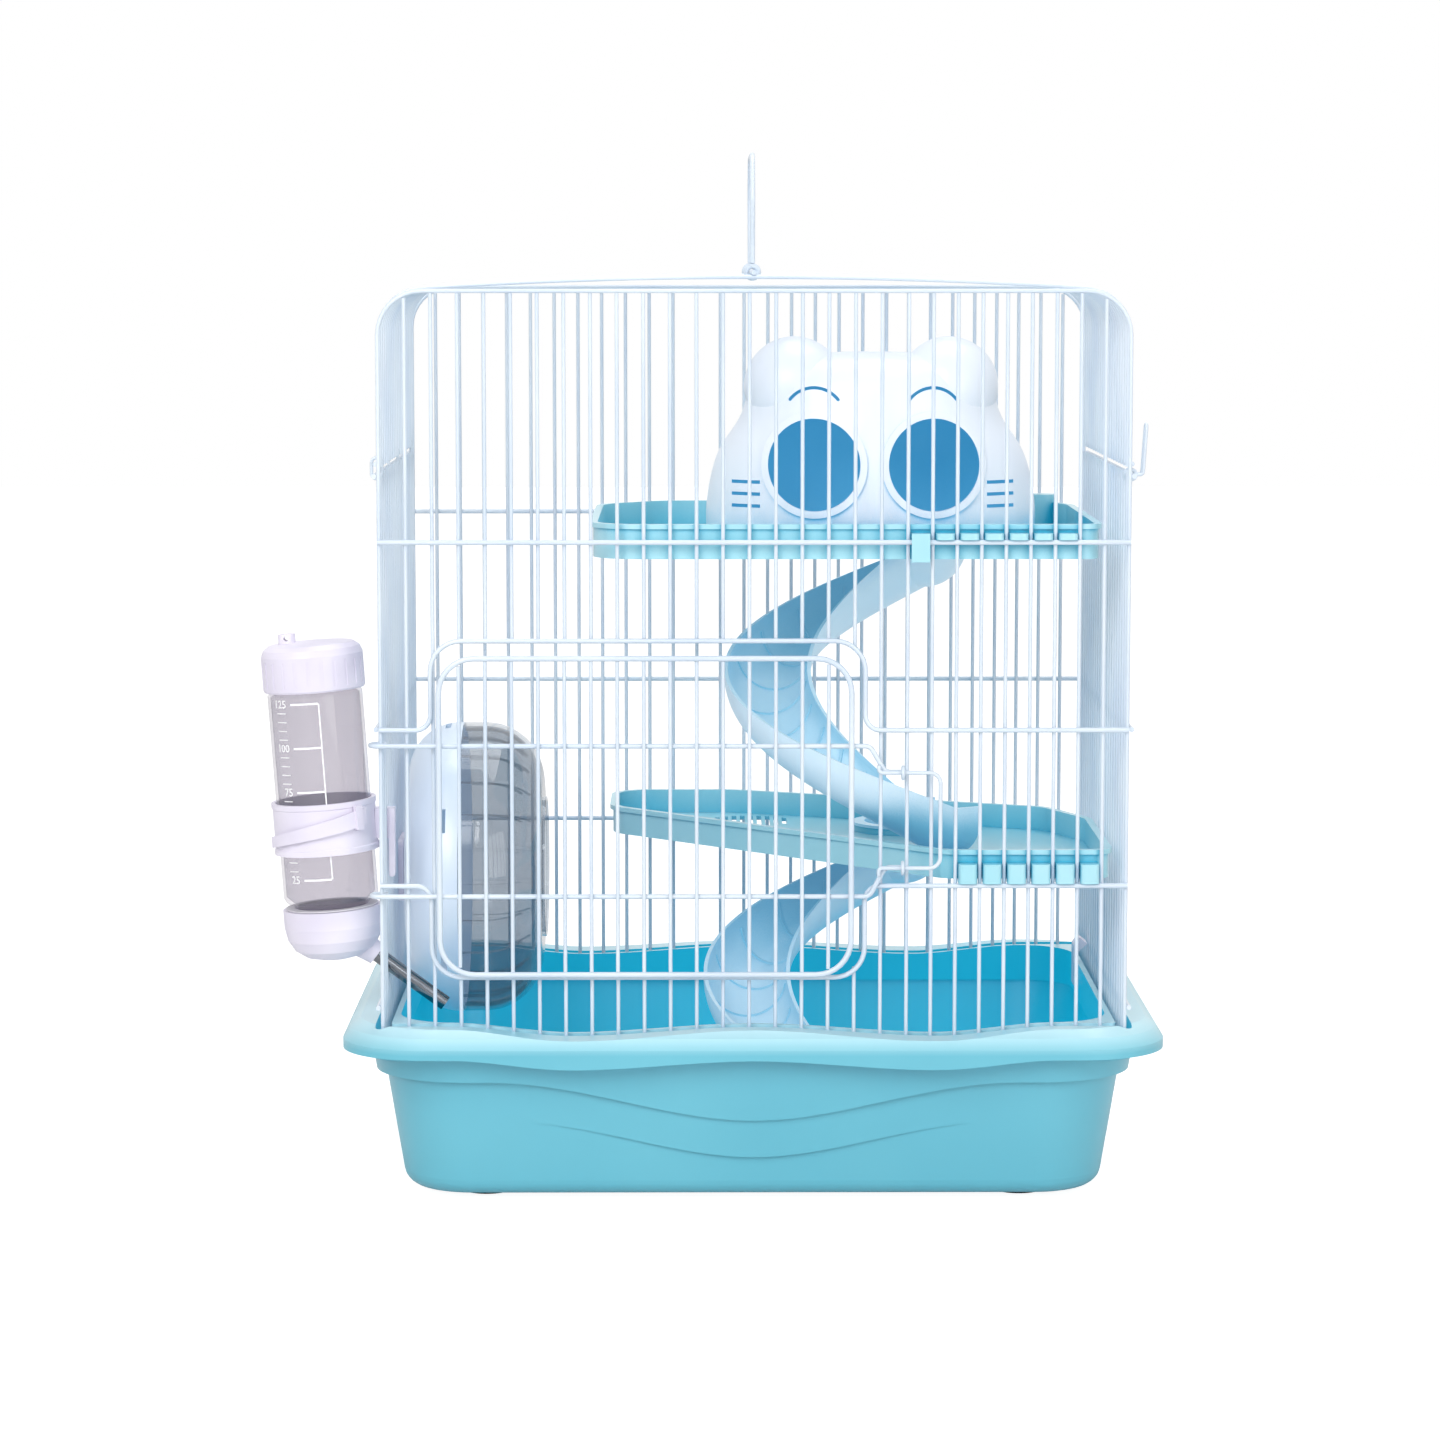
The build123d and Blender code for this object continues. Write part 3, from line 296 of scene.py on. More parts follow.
def house_plastic(look):
    """White moulded polypropylene with a soft gloss; its hollow is painted the blue of light bounced up from
    the shelves below it, with a painted glow.
    """
    def shade(tree):
        # Painted shade and bounce light: the house's hollow is painted blue and given a painted glow by
        # emission.
        hollow = painted_shade_share(tree, 160, 0.45, 0.2)
        wall = tone_shift(tree, look.house, hex_colour("#E6EEF9"), 80)
        colour = add_node(tree, "ShaderNodeMix", {"Factor": hollow, 6: wall, 7: look.house_painted_shade},
                          data_type="RGBA")
        through_and_painted_glow = add_node(tree, "ShaderNodeMix", {"Factor": hollow, 6: BLACK, 7: hex_colour("#27647E")},
                           data_type="RGBA")
        return add_node(tree, "ShaderNodeBsdfPrincipled", {
            "Base Color": colour.outputs[2], "Emission Color": through_and_painted_glow.outputs[2], "Emission Strength": 1.0,
            "Roughness": 0.33, "IOR": 1.5, "Coat Weight": 0.2, "Coat Roughness": 0.2,
            "Normal": grain_bump(tree, 3, 0.015)}).outputs[0]
    return make_material("house_polypropylene", shade)


def fitting_plastic(look):
    """Moulded white polyethylene of caps, straps and clips: waxy, a touch lilac, with a faint painted glow
    that lightens its shade.
    """
    def shade(tree):
        return add_node(tree, "ShaderNodeBsdfPrincipled", {
            "Base Color": tone_shift(tree, look.fitting, hex_colour("#DAD5E6"), 30),
            # Painted glow: faint emission lightens the fittings where they lie in shade.
            "Emission Color": hex_colour("#28262E"), "Emission Strength": 1.0,
            "Roughness": 0.38, "IOR": 1.51, "Normal": grain_bump(tree, 1.5, 0.02)}).outputs[0]
    return make_material("fitting_polyethylene", shade)


def wheel_plastic(look):
    """Moulded pale blue polystyrene of the wheel's back half: opaque, with a clean gloss and a faint painted
    glow that lightens its shade.
    """
    def shade(tree):
        return add_node(tree, "ShaderNodeBsdfPrincipled", {
            "Base Color": tone_shift(tree, look.wheel, hex_colour("#C3D4EA"), 50),
            # Painted glow: faint emission lightens the back half in its shade.
            "Emission Color": hex_colour("#46525E"), "Emission Strength": 1.0,
            "Roughness": 0.28, "IOR": 1.57, "Coat Weight": 0.2, "Coat Roughness": 0.15,
            "Normal": grain_bump(tree, 2, 0.015)}).outputs[0]
    return make_material("wheel_polystyrene", shade)


def see_through(name, tint):
    """Clear moulded polystyrene: each wall tints what is behind it, and only its outer face mirrors."""
    def shade(tree):
        gloss = add_node(tree, "ShaderNodeBsdfGlossy", {"Color": WHITE, "Roughness": 0.06})
        through_and_painted_glow = add_node(tree, "ShaderNodeBsdfTransparent", {"Color": tint})
        haze = add_node(tree, "ShaderNodeBsdfDiffuse", {"Color": hex_colour("#E4E6EC")})
        body = add_node(tree, "ShaderNodeMixShader", {"Fac": 0.07, 1: through_and_painted_glow.outputs[0], 2: haze.outputs[0]})
        mirror = add_node(tree, "ShaderNodeFresnel", {"IOR": 1.5}).outputs["Fac"]
        back = add_node(tree, "ShaderNodeNewGeometry").outputs["Backfacing"]
        front = add_node(tree, "ShaderNodeMath", {0: 1.0, 1: back}, operation="SUBTRACT").outputs[0]
        edge = add_node(tree, "ShaderNodeMath", {0: mirror, 1: front}, operation="MULTIPLY").outputs[0]
        return add_node(tree, "ShaderNodeMixShader", {"Fac": edge, 1: body.outputs[0],
                                                      2: gloss.outputs[0]}).outputs[0]
    return make_material(name, shade)


def clear_plastic(look):
    """Clear polystyrene of the bottle, with a faint grey tint."""
    return see_through("clear_polystyrene", look.clear)


def smoky_plastic(look):
    """Smoke-grey clear polystyrene of the wheel's inner half."""
    return see_through("smoke_polystyrene", look.smoke)


def steel(look):
    """Drawn stainless steel: a dark, hard mirror, with its faint unevenness drawn coarse enough to show."""
    def shade(tree):
        return add_node(tree, "ShaderNodeBsdfPrincipled", {
            "Base Color": look.steel, "Metallic": 1.0, "Roughness": 0.16,
            "Normal": grain_bump(tree, 0.6, 0.01)}).outputs[0]
    return make_material("drawn_stainless_steel", shade)


def foot_rubber(look):
    """Moulded black rubber, matt."""
    def shade(tree):
        return add_node(tree, "ShaderNodeBsdfPrincipled", {
            "Base Color": look.foot, "Roughness": 0.75, "IOR": 1.5,
            "Normal": grain_bump(tree, 0.8, 0.03)}).outputs[0]
    return make_material("black_rubber", shade)


def seal_rubber(look):
    """Moulded silicone of the sealing ring, pale and softly glossy."""
    def shade(tree):
        return add_node(tree, "ShaderNodeBsdfPrincipled", {
            "Base Color": look.seal, "Roughness": 0.5, "IOR": 1.41,
            "Normal": grain_bump(tree, 0.8, 0.01)}).outputs[0]
    return make_material("silicone_seal", shade)


def white_ink(look):
    """Screen-printed white ink, matt and a little uneven."""
    def shade(tree):
        return add_node(tree, "ShaderNodeBsdfPrincipled", {
            "Base Color": look.ink, "Roughness": 0.6,
            "Normal": grain_bump(tree, 0.3, 0.01)}).outputs[0]
    return make_material("white_screen_ink", shade)


def floor_paper():
    """Matt white paper, which keeps the cage's shadow and shows white to the camera."""
    def shade(tree):
        seen = add_node(tree, "ShaderNodeLightPath").outputs["Is Camera Ray"]
        tone = add_node(tree, "ShaderNodeMix", {"Factor": seen, 6: hex_colour("#E6E6E6"),
                                                7: hex_colour("#9A9A9A")}, data_type="RGBA")
        paper = add_node(tree, "ShaderNodeBsdfDiffuse", {"Color": tone.outputs[2]})
        lift = add_node(tree, "ShaderNodeMath", {0: seen, 1: FLOOR_LIFT}, operation="MULTIPLY")
        glow = add_node(tree, "ShaderNodeEmission", {"Color": WHITE, "Strength": lift.outputs[0]})
        return add_node(tree, "ShaderNodeAddShader", {0: paper.outputs[0], 1: glow.outputs[0]}).outputs[0]
    return make_material("white_paper", shade)


# ---- mesh helpers ----
SHARP_ANGLE = 35          # degrees between faces past which an edge stays sharp
BEND_STEP = 12            # degrees of a bend in one step
SLACK_R = 1.0             # metres; a slacker bend, as across the roof, always has the same number of steps
SLACK_STEPS = 16
HOOP_SIDES = 10
EYE_SIDES, EYE_STEPS = 10, 20
MERGE = 1e-6              # metres between points that count as one
FULL_BEND_GAP = 1e-5      # metres of straight wire kept between a ring's two bends
HOOK_GAP = 1e-4           # the same for the door's hooks


def finish_piece(name, bm, body, material, replaces=()):
    """Turn a bmesh into a finished piece that rides on its body and stands in for the nodes it replaces."""
    bmesh.ops.recalc_face_normals(bm, faces=bm.faces)
    mesh = bpy.data.meshes.new(name)
    bm.to_mesh(mesh)
    bm.free()
    mesh.shade_smooth()
    mesh.set_sharp_from_angle(angle=radians(SHARP_ANGLE))
    piece = bpy.data.objects.new(name, mesh)
    bpy.context.scene.collection.objects.link(piece)
    mesh.materials.append(material)
    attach(piece, body)
    if replaces:
        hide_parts(*replaces)


def dress(node, material):
    """Give a node of the frame its material."""
    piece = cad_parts[node]
    piece.data.materials.clear()
    piece.data.materials.append(material)


def turn_to(direction):
    """A rotation that takes +Z to direction."""
    return direction.to_track_quat("Z", "Y").to_matrix().to_4x4()


def wire(bm, points, d, bends=(), sides=12, closed=False):
    """A round wire through points, bent by spinning its end face round each corner."""
    points = [Vector(p) for p in points]
    here = points[0]
    heading = (points[1] - here).normalized()
    ring = bmesh.ops.create_circle(bm, cap_ends=True, radius=d / 2, segments=sides,
                                   matrix=Matrix.Translation(here) @ turn_to(heading))
    first = ring["verts"]
    face = first[0].link_faces[0]
    for corner, beyond, r in zip(points[1:], points[2:], bends):
        after = (beyond - corner).normalized()
        angle = heading.angle(after)
        reach = r * tan(angle / 2)
        face = push(bm, face, corner - heading * reach - here)
        here = corner - heading * reach
        axis = heading.cross(after).normalized()
        steps = SLACK_STEPS if r > SLACK_R else max(2, round(degrees(angle) / BEND_STEP))
        spun = bmesh.ops.spin(bm, geom=[face, *face.edges, *face.verts], cent=here + axis.cross(heading) * r,
                              axis=axis, dvec=(0, 0, 0), angle=angle, steps=steps)
        face = [g for g in spun["geom_last"] if isinstance(g, bmesh.types.BMFace)][0]
        here = corner + after * reach
        heading = after
    face = push(bm, face, points[-1] - here)
    if closed:
        start_face = [f for f in bm.faces if set(f.verts) == set(first)]
        bmesh.ops.delete(bm, geom=[face] + start_face, context="FACES_ONLY")
        bmesh.ops.remove_doubles(bm, verts=bm.verts, dist=d / 50)


def push(bm, face, way):
    """Extrude the end face of a wire along way and return the new end face."""
    out = bmesh.ops.extrude_face_region(bm, geom=[face])["geom"]
    bmesh.ops.translate(bm, verts=[g for g in out if isinstance(g, bmesh.types.BMVert)], vec=way)
    return [g for g in out if isinstance(g, bmesh.types.BMFace)][0]


def eye(bm, centre, axis, r, d):
    """A closed eye of wire round axis."""
    axis = Vector(axis)
    side = axis.orthogonal().normalized()
    ring = bmesh.ops.create_circle(bm, cap_ends=False, radius=d / 2, segments=EYE_SIDES,
                                   matrix=Matrix.Translation(centre + side * r) @ turn_to(axis.cross(side)))
    edges = list({e for v in ring["verts"] for e in v.link_edges})
    bmesh.ops.spin(bm, geom=ring["verts"] + edges, cent=centre, axis=axis, dvec=(0, 0, 0), angle=2 * pi,
                   steps=EYE_STEPS, use_merge=True)


def rounded_loop(bm, middle, half_x, half_z, bend, d):
    """A closed upright wire that faces the front: a rectangle with rounded corners."""
    places = [(0, -1), (1, -1), (1, 1), (-1, 1), (-1, -1), (0, -1)]
    wire(bm, [middle + Vector((x * half_x, 0, z * half_z)) for x, z in places], d, [bend] * 4, closed=True)


def loose_boxes(node):
    """Lowest and highest corner of each separate solid in a node of the frame."""
    bm = bmesh.new()
    bm.from_mesh(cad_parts[node].data)
    bmesh.ops.remove_doubles(bm, verts=bm.verts, dist=MERGE)
    todo, boxes = set(bm.verts), []
    while todo:
        group, edge_of = [], [todo.pop()]
        while edge_of:
            vert = edge_of.pop()
            group.append(vert.co.copy())
            near = {e.other_vert(vert) for e in vert.link_edges} & todo
            todo -= near
            edge_of += near
        boxes.append((Vector(map(min, *group)), Vector(map(max, *group))))
    bm.free()
    return sorted(boxes, key=lambda box: tuple(box[0]))


def straight_wires(name, body, node, d, material):
    """A piece of straight wires, one along each solid of a node that it replaces."""
    bm = bmesh.new()
    for low, high in loose_boxes(node):
        straight_wire(bm, low, high, d)
    finish_piece(name, bm, body, material, [node])


def straight_wire(bm, low, high, d):
    """A wire along the longest side of a box, through its middle."""
    middle = (low + high) / 2
    long_axis = max(range(3), key=lambda i: high[i] - low[i])
    start, end = middle.copy(), middle.copy()
    start[long_axis], end[long_axis] = low[long_axis], high[long_axis]
    wire(bm, [start, end], d)


# ---- sizes and colours a user may change ----
def thickness_property(name, description, mm):
    """The thickness of a wire that a user may change, with its default in millimetres."""
    return FloatProperty(name=name, description=description, default=mm * MM, unit="LENGTH")


class CageSizes(bpy.types.PropertyGroup):
    """Thicknesses of the cage's wires."""
    upright: thickness_property("Upright wire", "Thickness of the uprights and hoops", 1.8)
    cross: thickness_property("Cross wire", "Thickness of the cross wires", 2.3)
    border: thickness_property("Border wire", "Thickness of the front and back borders", 2.0)
    door: thickness_property("Door wire", "Thickness of the door's outline", 2.6)
    ring: thickness_property("Ring wire", "Thickness of the hinge rings, the eyes and the roof latch", 1.6)
    latch: thickness_property("Latch wire", "Thickness of the door's sliding latch", 1.9)
    handle: thickness_property("Handle wire", "Thickness of the carrying handle", 2.6)


def colour_property(name, description, text):
    """A colour that a user may change, with its default as hex sRGB."""
    return FloatVectorProperty(name=name, description=description, default=hex_colour(text), subtype="COLOR",
                               size=4, min=0, max=1)


class CageLook(bpy.types.PropertyGroup):
    """Colours of the cage's plastics and metal."""
    wire: colour_property("Wire", "Powder coat of the wires", "#DCE6F0")
    tray: colour_property("Tray", "Plastic of the tray", "#6DC0D3")
    # Painted shade: the deeper blue painted on the tray's inner walls and in the shelves' corners.
    tray_painted_shade: colour_property("Tray hollow", "Colour of the tray's hollow and of the shade under its rim",
                               "#22B4D4")
    # Painted highlight: the paler colour painted on the tray's top edge.
    lit_rim: colour_property("Tray rim", "Plastic of the tray's thin rim", "#BFE8F2")
    # Painted highlight: the shelves' colour, painted paler as lit from above.
    lit_shelf: colour_property("Shelves", "Plastic of the shelves", "#B2E1EC")
    slide: colour_property("Slides", "Plastic of the slides", "#E2EEF6")
    house: colour_property("House", "Plastic of the house", "#EDF4FC")
    # Painted shade: the bluer colour painted in the slides' hollows.
    slide_painted_shade: colour_property("Slide hollow", "Colour of the slides in their own shade", "#5FB0CC")
    # Painted bounce light: the blue painted in the house's hollow.
    house_painted_shade: colour_property("House hollow", "Blue that the shelf lends to the house's hollow", "#6FB4D0")
    fitting: colour_property("Fittings", "Plastic of caps, strap and clips", "#EAE5F2")
    wheel: colour_property("Wheel", "Plastic of the wheel's back half", "#DCE6F2")
    clear: colour_property("Clear plastic", "Tint of the bottle's clear plastic", "#EDEBEE")
    smoke: colour_property("Smoke plastic", "Tint of the wheel's clear half", "#DADEE2")
    steel: colour_property("Steel", "Steel of the spout", "#7E8288")
    foot: colour_property("Feet", "Rubber of the feet", "#141414")
    seal: colour_property("Seal", "Silicone of the bottle's sealing ring", "#D8D6DC")
    ink: colour_property("Scale", "Ink of the bottle's scale", "#FBFBFD")


# ---- the wire cage ----
class CAGE_OT_panels(bpy.types.Operator):
    """Build the front, back and side panels of welded wire."""
    bl_idname = "cage.panels"
    bl_label = "Wire panels"

    def execute(self, context):
        sizes, coat = context.scene.cage_sizes, powder_coat(context.scene.cage_look)
        for side, y in (("front", -Y0), ("back", Y0)):
            bm = bmesh.new()
            wire(bm, [at(-X0, y, WIRE_FOOT), at(-X0, y, CAGE_TOP), at(X0, y, CAGE_TOP), at(X0, y, WIRE_FOOT)],
                 sizes.border, [CORNER_R * MM] * 2)
            finish_piece(side + "_border", bm, "cage", coat, [side + "_frame_wire"])
        for side in ("front", "back", "left", "right"):
            straight_wires(side + "_uprights", "cage", side + "_bars", sizes.upright, coat)
        for side in ("back", "left", "right"):
            straight_wires(side + "_crossings", "cage", side + "_cross_wires", sizes.cross, coat)

        bm = bmesh.new()
        half = sizes.cross / 2
        left, right = at(OPEN_L, 0, 0).x, at(OPEN_R, 0, 0).x
        for low, high in loose_boxes("front_cross_wires"):
            if high.z - low.z < 2 * sizes.cross:
                straight_wire(bm, low, high, sizes.cross)
                continue
            # The two middle wires are bent up and down round the door opening.
            y = (low.y + high.y) / 2
            level, far = low.z + half, high.z - half
            if low.z < DOOR_MIDDLE * MM:
                level, far = far, level
            points = [(low.x, y, level), (left, y, level), (left, y, far), (right, y, far), (right, y, level),
                      (high.x, y, level)]
            wire(bm, points, sizes.cross, [FLARE * MM, OPEN_BEND * MM, OPEN_BEND * MM, FLARE * MM])
        finish_piece("front_crossings", bm, "cage", coat, ["front_cross_wires"])
        return {"FINISHED"}


class CAGE_OT_roof(bpy.types.Operator):
    """Build the roof hood's hoops and its three long wires."""
    bl_idname = "cage.roof"
    bl_label = "Roof hood"

    def execute(self, context):
        sizes, coat = context.scene.cage_sizes, powder_coat(context.scene.cage_look)
        bm = bmesh.new()
        for low, high in loose_boxes("hood_hoops"):
            y = (low.y + high.y) / 2 / MM
            foot = low.z / MM
            wire(bm, [at(-X0, y, foot), at(-X0, y, CAGE_TOP), at(0, y, ROOF_APEX), at(X0, y, CAGE_TOP),
                      at(X0, y, foot)], sizes.upright, [r * MM for r in (CORNER_R, ROOF_BEND, CORNER_R)],
                 sides=HOOP_SIDES)
        finish_piece("roof_hoops", bm, "hood", coat, ["hood_hoops"])
        straight_wires("roof_long_wires", "hood", "hood_cross_wires", sizes.cross, coat)
        return {"FINISHED"}


class CAGE_OT_roof_fittings(bpy.types.Operator):
    """Build the hinge rings, the roof latch and the carrying handle."""
    bl_idname = "cage.roof_fittings"
    bl_label = "Hinge rings, latch and handle"

    def execute(self, context):
        sizes, coat = context.scene.cage_sizes, powder_coat(context.scene.cage_look)
        bm = bmesh.new()
        for low, high in loose_boxes("hinge_rings"):
            half_x, half_z = (high.x - low.x) / 2 - sizes.ring / 2, (high.z - low.z) / 2 - sizes.ring / 2
            rounded_loop(bm, (low + high) / 2, half_x, half_z, half_x - FULL_BEND_GAP, sizes.ring)
        finish_piece("hood_hinge_rings", bm, "cage", coat, ["hinge_rings"])

        # A finger loop that turns on the right seam wire.
        bm = bmesh.new()
        low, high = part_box("roof_latch")
        r = sizes.ring / 2
        seam_x, seam_z = high.x - FINGER_OUT * MM - r, SEAM_LOW * MM
        near, far = low.y + r, high.y - r
        root, bend_x = seam_x + RING_R * MM, seam_x + FINGER_BEND_X * MM
        wire(bm, [(root, near, seam_z), (bend_x, near, seam_z), (high.x - r, near, high.z - r),
                  (high.x - r, far, high.z - r), (bend_x, far, seam_z), (root, far, seam_z)],
             sizes.ring, [bend * MM for bend in FINGER_BENDS])
        for y in (near, far):
            eye(bm, Vector((seam_x, y, seam_z)), (0, 1, 0), RING_R * MM, sizes.ring)
        finish_piece("roof_finger_latch", bm, "roof_latch", coat, ["roof_latch"])

        bm = bmesh.new()
        wire_z = (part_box("hood_cross_wires")[1].z - sizes.cross / 2) / MM
        half = -side_y(HANDLE_K)
        foot = wire_z + EYE_R + EYE_GAP
        side = [(half, foot), (half, foot + HANDLE_LEG), (half + HANDLE_OUT, HANDLE_TOP - HANDLE_DROP),
                (half - HANDLE_IN, HANDLE_TOP)]
        points = [(0, -y, z) for y, z in side] + [(0, y, z) for y, z in reversed(side)]
        wire(bm, [at(*p) for p in points], sizes.handle, [r * MM for r in HANDLE_BENDS])
        for y in (-half, half):
            eye(bm, at(0, y, wire_z), (0, 1, 0), EYE_R * MM, sizes.handle)
        finish_piece("carrying_handle", bm, "handle", coat, ["handle"])
        return {"FINISHED"}


# ---- the door ----
class CAGE_OT_door(bpy.types.Operator):
    """Build the wire door with its hinge hooks and its sliding latch."""
    bl_idname = "cage.door"
    bl_label = "Door"

    def execute(self, context):
        sizes, coat = context.scene.cage_sizes, powder_coat(context.scene.cage_look)
        low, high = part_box("door_frame_wire")
        r = sizes.door / 2
        bm = bmesh.new()
        rounded_loop(bm, (low + high) / 2, (high.x - low.x) / 2 - r, (high.z - low.z) / 2 - r, DOOR_BEND * MM,
                     sizes.door)
        finish_piece("door_outline", bm, "door", coat, ["door_frame_wire"])
        straight_wires("door_uprights", "door", "door_bars", sizes.upright, coat)

        # Each hinge wire ends in an eye round the latch; the eyes give the height of latch and wires.
        low, high = min(loose_boxes("door_hinge_wires"), key=lambda box: box[1].x - box[0].x)
        latch_y, eye_r = (low.y + high.y) / 2, (high.z - low.z) / 2 - sizes.ring / 2
        rail_y = latch_y + eye_r
        bm = bmesh.new()
        hook, leg = HOOK_R * MM, at(-X0, -Y0, 0)
        end_x, run_x, step_x = (at(x, 0, 0).x for x in (TONGUE_END, STEP_X + STEP_RUN, STEP_X))
        for rail_z, tongue_z in zip((z * MM for z in RAIL_Z), (z * MM for z in TONGUE_Z)):
            points = [(end_x, rail_y, tongue_z), (run_x, rail_y, tongue_z), (step_x, rail_y, rail_z),
                      (leg.x - hook, rail_y, rail_z), (leg.x - hook, leg.y + hook, rail_z),
                      (leg.x + HOOK_TAIL * MM, leg.y + hook, rail_z)]
            wire(bm, points, sizes.cross, [STEP_BEND * MM] * 2 + [hook - HOOK_GAP] * 2)
            eye(bm, Vector((end_x, latch_y, tongue_z)), (1, 0, 0), eye_r, sizes.ring)
        finish_piece("door_hinge_and_tongues", bm, "door", coat, ["door_hinge_wires"])

        bm = bmesh.new()
        top, bottom = (z * MM for z in TONGUE_Z)
        left, right = at(LATCH_L, 0, 0).x, at(LATCH_R, 0, 0).x
        tip = LATCH_TIP * MM
        points = [(left, latch_y, top + tip), (left, latch_y, top), (right, latch_y, top),
                  (right, latch_y, bottom), (left, latch_y, bottom), (left, latch_y, bottom - tip)]
        wire(bm, points, sizes.latch, [r * MM for r in LATCH_BENDS])
        finish_piece("door_sliding_latch", bm, "door_latch", coat, ["door_latch"])
        return {"FINISHED"}


# ---- plastic pieces ----
class CAGE_OT_plastics(bpy.types.Operator):
    """Give the moulded pieces their plastics."""
    bl_idname = "cage.plastics"
    bl_label = "Moulded pieces"

    def execute(self, context):
        look = context.scene.cage_look
        dressing = {
            tray_plastic: ["tray"],
            foot_rubber: ["tray_feet"],
            fitting_plastic: ["tray_clips", "wheel_hub_cap", "wheel_mount_plate", "wheel_mount_nut",
                              "bottle_fill_cap", "bottle_foot_cap", "strap_ring", "strap_hook"],
            shelf_plastic: ["upper_shelf", "lower_shelf"],
            slide_plastic: ["upper_slide", "upper_slide_ring", "lower_slide", "lower_slide_ring"],
            house_plastic: ["house_front", "house_back"],
            wheel_plastic: ["wheel_back_half"],
            clear_plastic: ["bottle_body"],
            smoky_plastic: ["wheel_clear_half"],
            steel: ["wheel_axle", "spout_tube", "spout_ball"],
            seal_rubber: ["bottle_seal"],
        }
        for make, nodes in dressing.items():
            for node in nodes:
                dress(node, make(look))
        return {"FINISHED"}


# ---- water bottle ----
def on_bottle(turn, out, z):
    """A place round the bottle: turn in degrees from +X, out from its axis and z along it, in millimetres."""
    lean = Matrix.Rotation(-radians(BOTTLE_LEAN), 3, "Y")
    return at(*BOTTLE_MIDDLE) + lean @ (Vector((cos(radians(turn)) * out, sin(radians(turn)) * out, z)) * MM)


def wrapped_bar(bm, turns, lows, highs, depths, steps):
    """A bar laid round the bottle between two turns; it may slope and change its height on the way."""
    inner, outer = depths
    rows = []
    for i in range(steps + 1):
        turn, low, high = (start + (end - start) * i / steps for start, end in (turns, lows, highs))
        rows.append([bm.verts.new(on_bottle(turn, out, z))
                     for out, z in ((inner, low), (outer, low), (outer, high), (inner, high))])
    for row, after in zip(rows, rows[1:]):
        for i in range(4):
            bm.faces.new((row[i], row[i - 1], after[i - 1], after[i]))
    bm.faces.new(rows[0])
    bm.faces.new(reversed(rows[-1]))


def printed_number(bm, text, z):
    """A number printed on the bottle, to the left of its mark."""
    curve = bpy.data.curves.new("number", "FONT")
    curve.body = text
    curve.size = NUMBER_H
    curve.resolution_u = 2
    curve.align_x, curve.align_y = "RIGHT", "CENTER"
    curve.extrude = (INK_FRONT - INK_BACK) / 2
    letters = bpy.data.objects.new("number", curve)
    flat = bpy.data.meshes.new_from_object(letters)
    first = len(bm.verts)
    bm.from_mesh(flat)
    bm.verts.ensure_lookup_table()
    for vert in bm.verts[first:]:
        turn = SCALE_TURN + NUMBER_TURN + degrees(vert.co.x / BOTTLE_R)
        vert.co = on_bottle(turn, (INK_BACK + INK_FRONT) / 2 + vert.co.z, z + vert.co.y)
    bpy.data.objects.remove(letters)
    bpy.data.curves.remove(curve)
    bpy.data.meshes.remove(flat)


class CAGE_OT_bottle_marks(bpy.types.Operator):
    """Print the bottle's millilitre scale and lay the strap's tongue over its ring."""
    bl_idname = "cage.bottle_marks"
    bl_label = "Bottle scale and strap"

    def execute(self, context):
        look = context.scene.cage_look
        ink = (INK_BACK, INK_FRONT)
        bm = bmesh.new()
        wrapped_bar(bm, (SCALE_TURN + SCALE_LINE, SCALE_TURN), (SCALE_LOW, SCALE_LOW),
                    (SCALE_HIGH, SCALE_HIGH), ink, 2)
        marks = SCALE_GAPS * SCALE_STEPS
        for i in range(marks + 1):
            z = SCALE_LOW + (SCALE_HIGH - SCALE_LOW) * i / marks
            number, small = divmod(i, SCALE_STEPS)
            right, left, thick = SHORT_MARK if small else LONG_MARK
            low, high = z - thick / 2, z + thick / 2
            wrapped_bar(bm, (SCALE_TURN + right, SCALE_TURN + left), (low, low), (high, high), ink, 8)
            if not small:
                printed_number(bm, str(SCALE_ML * (number + 1)), z)
        finish_piece("bottle_scale", bm, "bottle", white_ink(look))

        # The strap's free end passes over the ring, widens towards its tip and ends under a catch.
        bm = bmesh.new()
        root = STRAP_R - STRAP_SINK
        wrapped_bar(bm, STRAP_TURNS, STRAP_LOWS, STRAP_HIGHS, (root, STRAP_R + STRAP_RISE), 24)
        wrapped_bar(bm, CATCH_TURNS, (CATCH_LOW, CATCH_LOW), (CATCH_HIGH, CATCH_HIGH),
                    (root, STRAP_R + CATCH_RISE), 4)
        finish_piece("strap_tongue", bm, "cage", fitting_plastic(look))
        return {"FINISHED"}


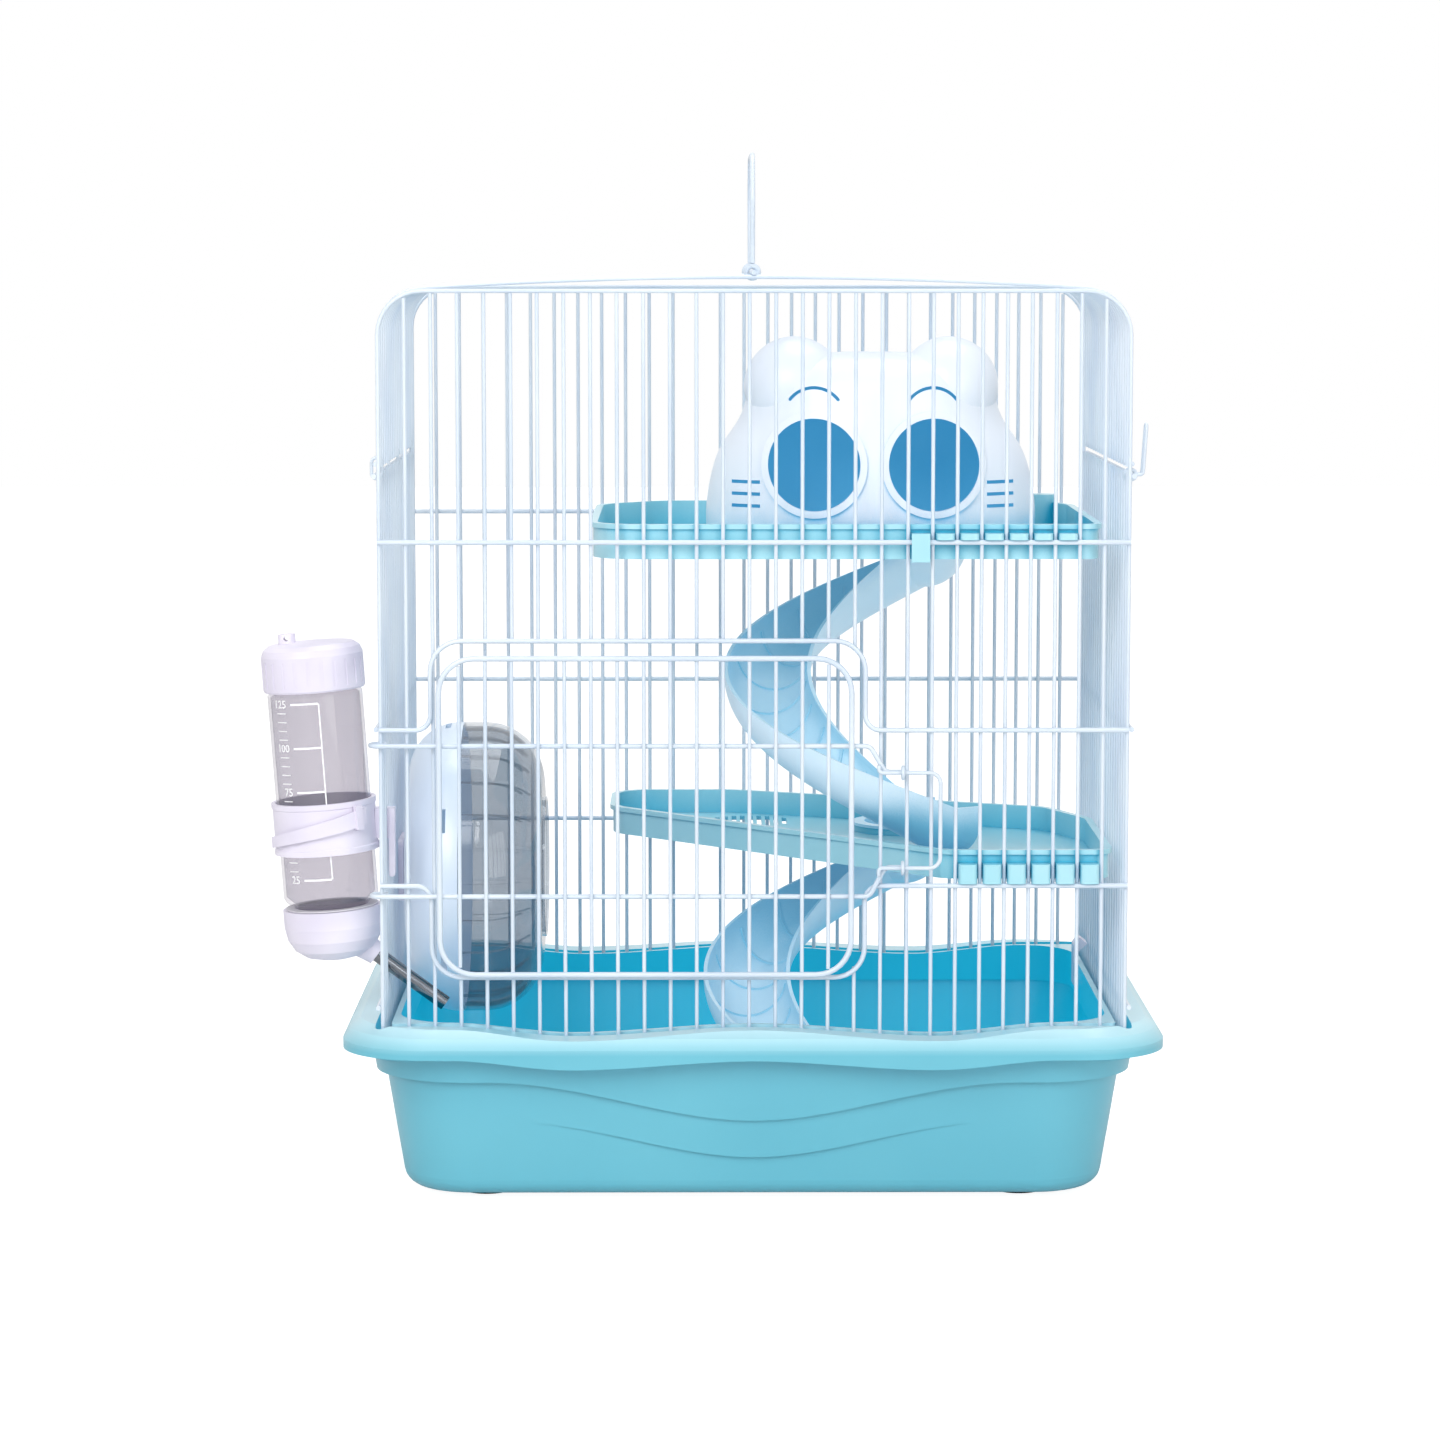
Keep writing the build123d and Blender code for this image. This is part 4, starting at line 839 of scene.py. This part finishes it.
# ---- stage ----
class CAGE_OT_stage(bpy.types.Operator):
    """Make the floor, the light and the camera."""
    bl_idname = "cage.stage"
    bl_label = "Stage"

    def execute(self, context):
        scene = context.scene
        scene.view_settings.view_transform = "Standard"
        self.add_world(scene)
        self.add_floor(scene)
        self.add_lamps(scene)
        self.add_camera(scene)
        return {"FINISHED"}

    def add_world(self, scene):
        """Soft white light all round, and plain white for the camera, for mirrors and for rays past clear
        walls.
        """
        world = bpy.data.worlds.new("studio")
        scene.world = world
        world.use_nodes = True
        tree = world.node_tree
        tree.nodes.clear()
        ray = add_node(tree, "ShaderNodeLightPath").outputs
        direct = add_node(tree, "ShaderNodeMath", {0: ray["Is Camera Ray"], 1: ray["Is Glossy Ray"]},
                          operation="ADD")
        shown = add_node(tree, "ShaderNodeMath", {0: direct.outputs[0], 1: ray["Is Transmission Ray"]},
                         operation="ADD", use_clamp=True)
        strength = add_node(tree, "ShaderNodeMapRange", {"Value": shown.outputs[0], "To Min": SKY_LIGHT,
                                                         "To Max": SKY_SEEN}).outputs["Result"]
        sky = add_node(tree, "ShaderNodeBackground", {"Color": WHITE, "Strength": strength})
        add_node(tree, "ShaderNodeOutputWorld", {"Surface": sky.outputs[0]})

    def add_floor(self, scene):
        bm = bmesh.new()
        bmesh.ops.create_grid(bm, x_segments=1, y_segments=1, size=FLOOR_HALF)
        mesh = bpy.data.meshes.new("floor")
        bm.to_mesh(mesh)
        bm.free()
        floor = bpy.data.objects.new("floor", mesh)
        scene.collection.objects.link(floor)
        mesh.materials.append(floor_paper())

    def add_lamps(self, scene):
        for name, place, watts, size in LAMPS:
            lamp = bpy.data.lights.new(name, "AREA")
            lamp.energy = watts
            lamp.size = size
            lamp_object = bpy.data.objects.new(name, lamp)
            lamp_object.location = place
            aim = Vector(LAMP_AIM) - Vector(place)
            lamp_object.rotation_euler = aim.to_track_quat("-Z", "Y").to_euler()
            scene.collection.objects.link(lamp_object)

    def add_camera(self, scene):
        camera = bpy.data.cameras.new("camera")
        camera.sensor_width = CAMERA_SENSOR
        camera.lens = CAMERA_LENS
        camera_object = bpy.data.objects.new("camera", camera)
        camera_object.location = CAMERA_PLACE
        camera_object.rotation_euler = CAMERA_TURN
        scene.collection.objects.link(camera_object)
        scene.camera = camera_object


OPERATORS = (CAGE_OT_stage, CAGE_OT_panels, CAGE_OT_roof, CAGE_OT_roof_fittings, CAGE_OT_door,
             CAGE_OT_plastics, CAGE_OT_bottle_marks)


class CAGE_PT_panel(bpy.types.Panel):
    """Lists the cage's sizes and colours, and the steps that dress it."""
    bl_label = "Hamster Cage"
    bl_space_type = "VIEW_3D"
    bl_region_type = "UI"
    bl_category = "Cage"

    def draw(self, context):
        for group in (context.scene.cage_sizes, context.scene.cage_look):
            for name in group.bl_rna.properties.keys():
                if name not in ("rna_type", "name"):
                    self.layout.prop(group, name)
        for step in OPERATORS:
            self.layout.operator(step.bl_idname)


CLASSES = (CageSizes, CageLook, *OPERATORS, CAGE_PT_panel)


def register():
    for cls in CLASSES:
        bpy.utils.register_class(cls)
    bpy.types.Scene.cage_sizes = PointerProperty(type=CageSizes)
    bpy.types.Scene.cage_look = PointerProperty(type=CageLook)


def unregister():
    del bpy.types.Scene.cage_look
    del bpy.types.Scene.cage_sizes
    for cls in reversed(CLASSES):
        bpy.utils.unregister_class(cls)


def main():
    register()
    for step in OPERATORS:
        group, name = step.bl_idname.split(".")
        getattr(getattr(bpy.ops, group), name)()


if __name__ == "__main__":
    main()
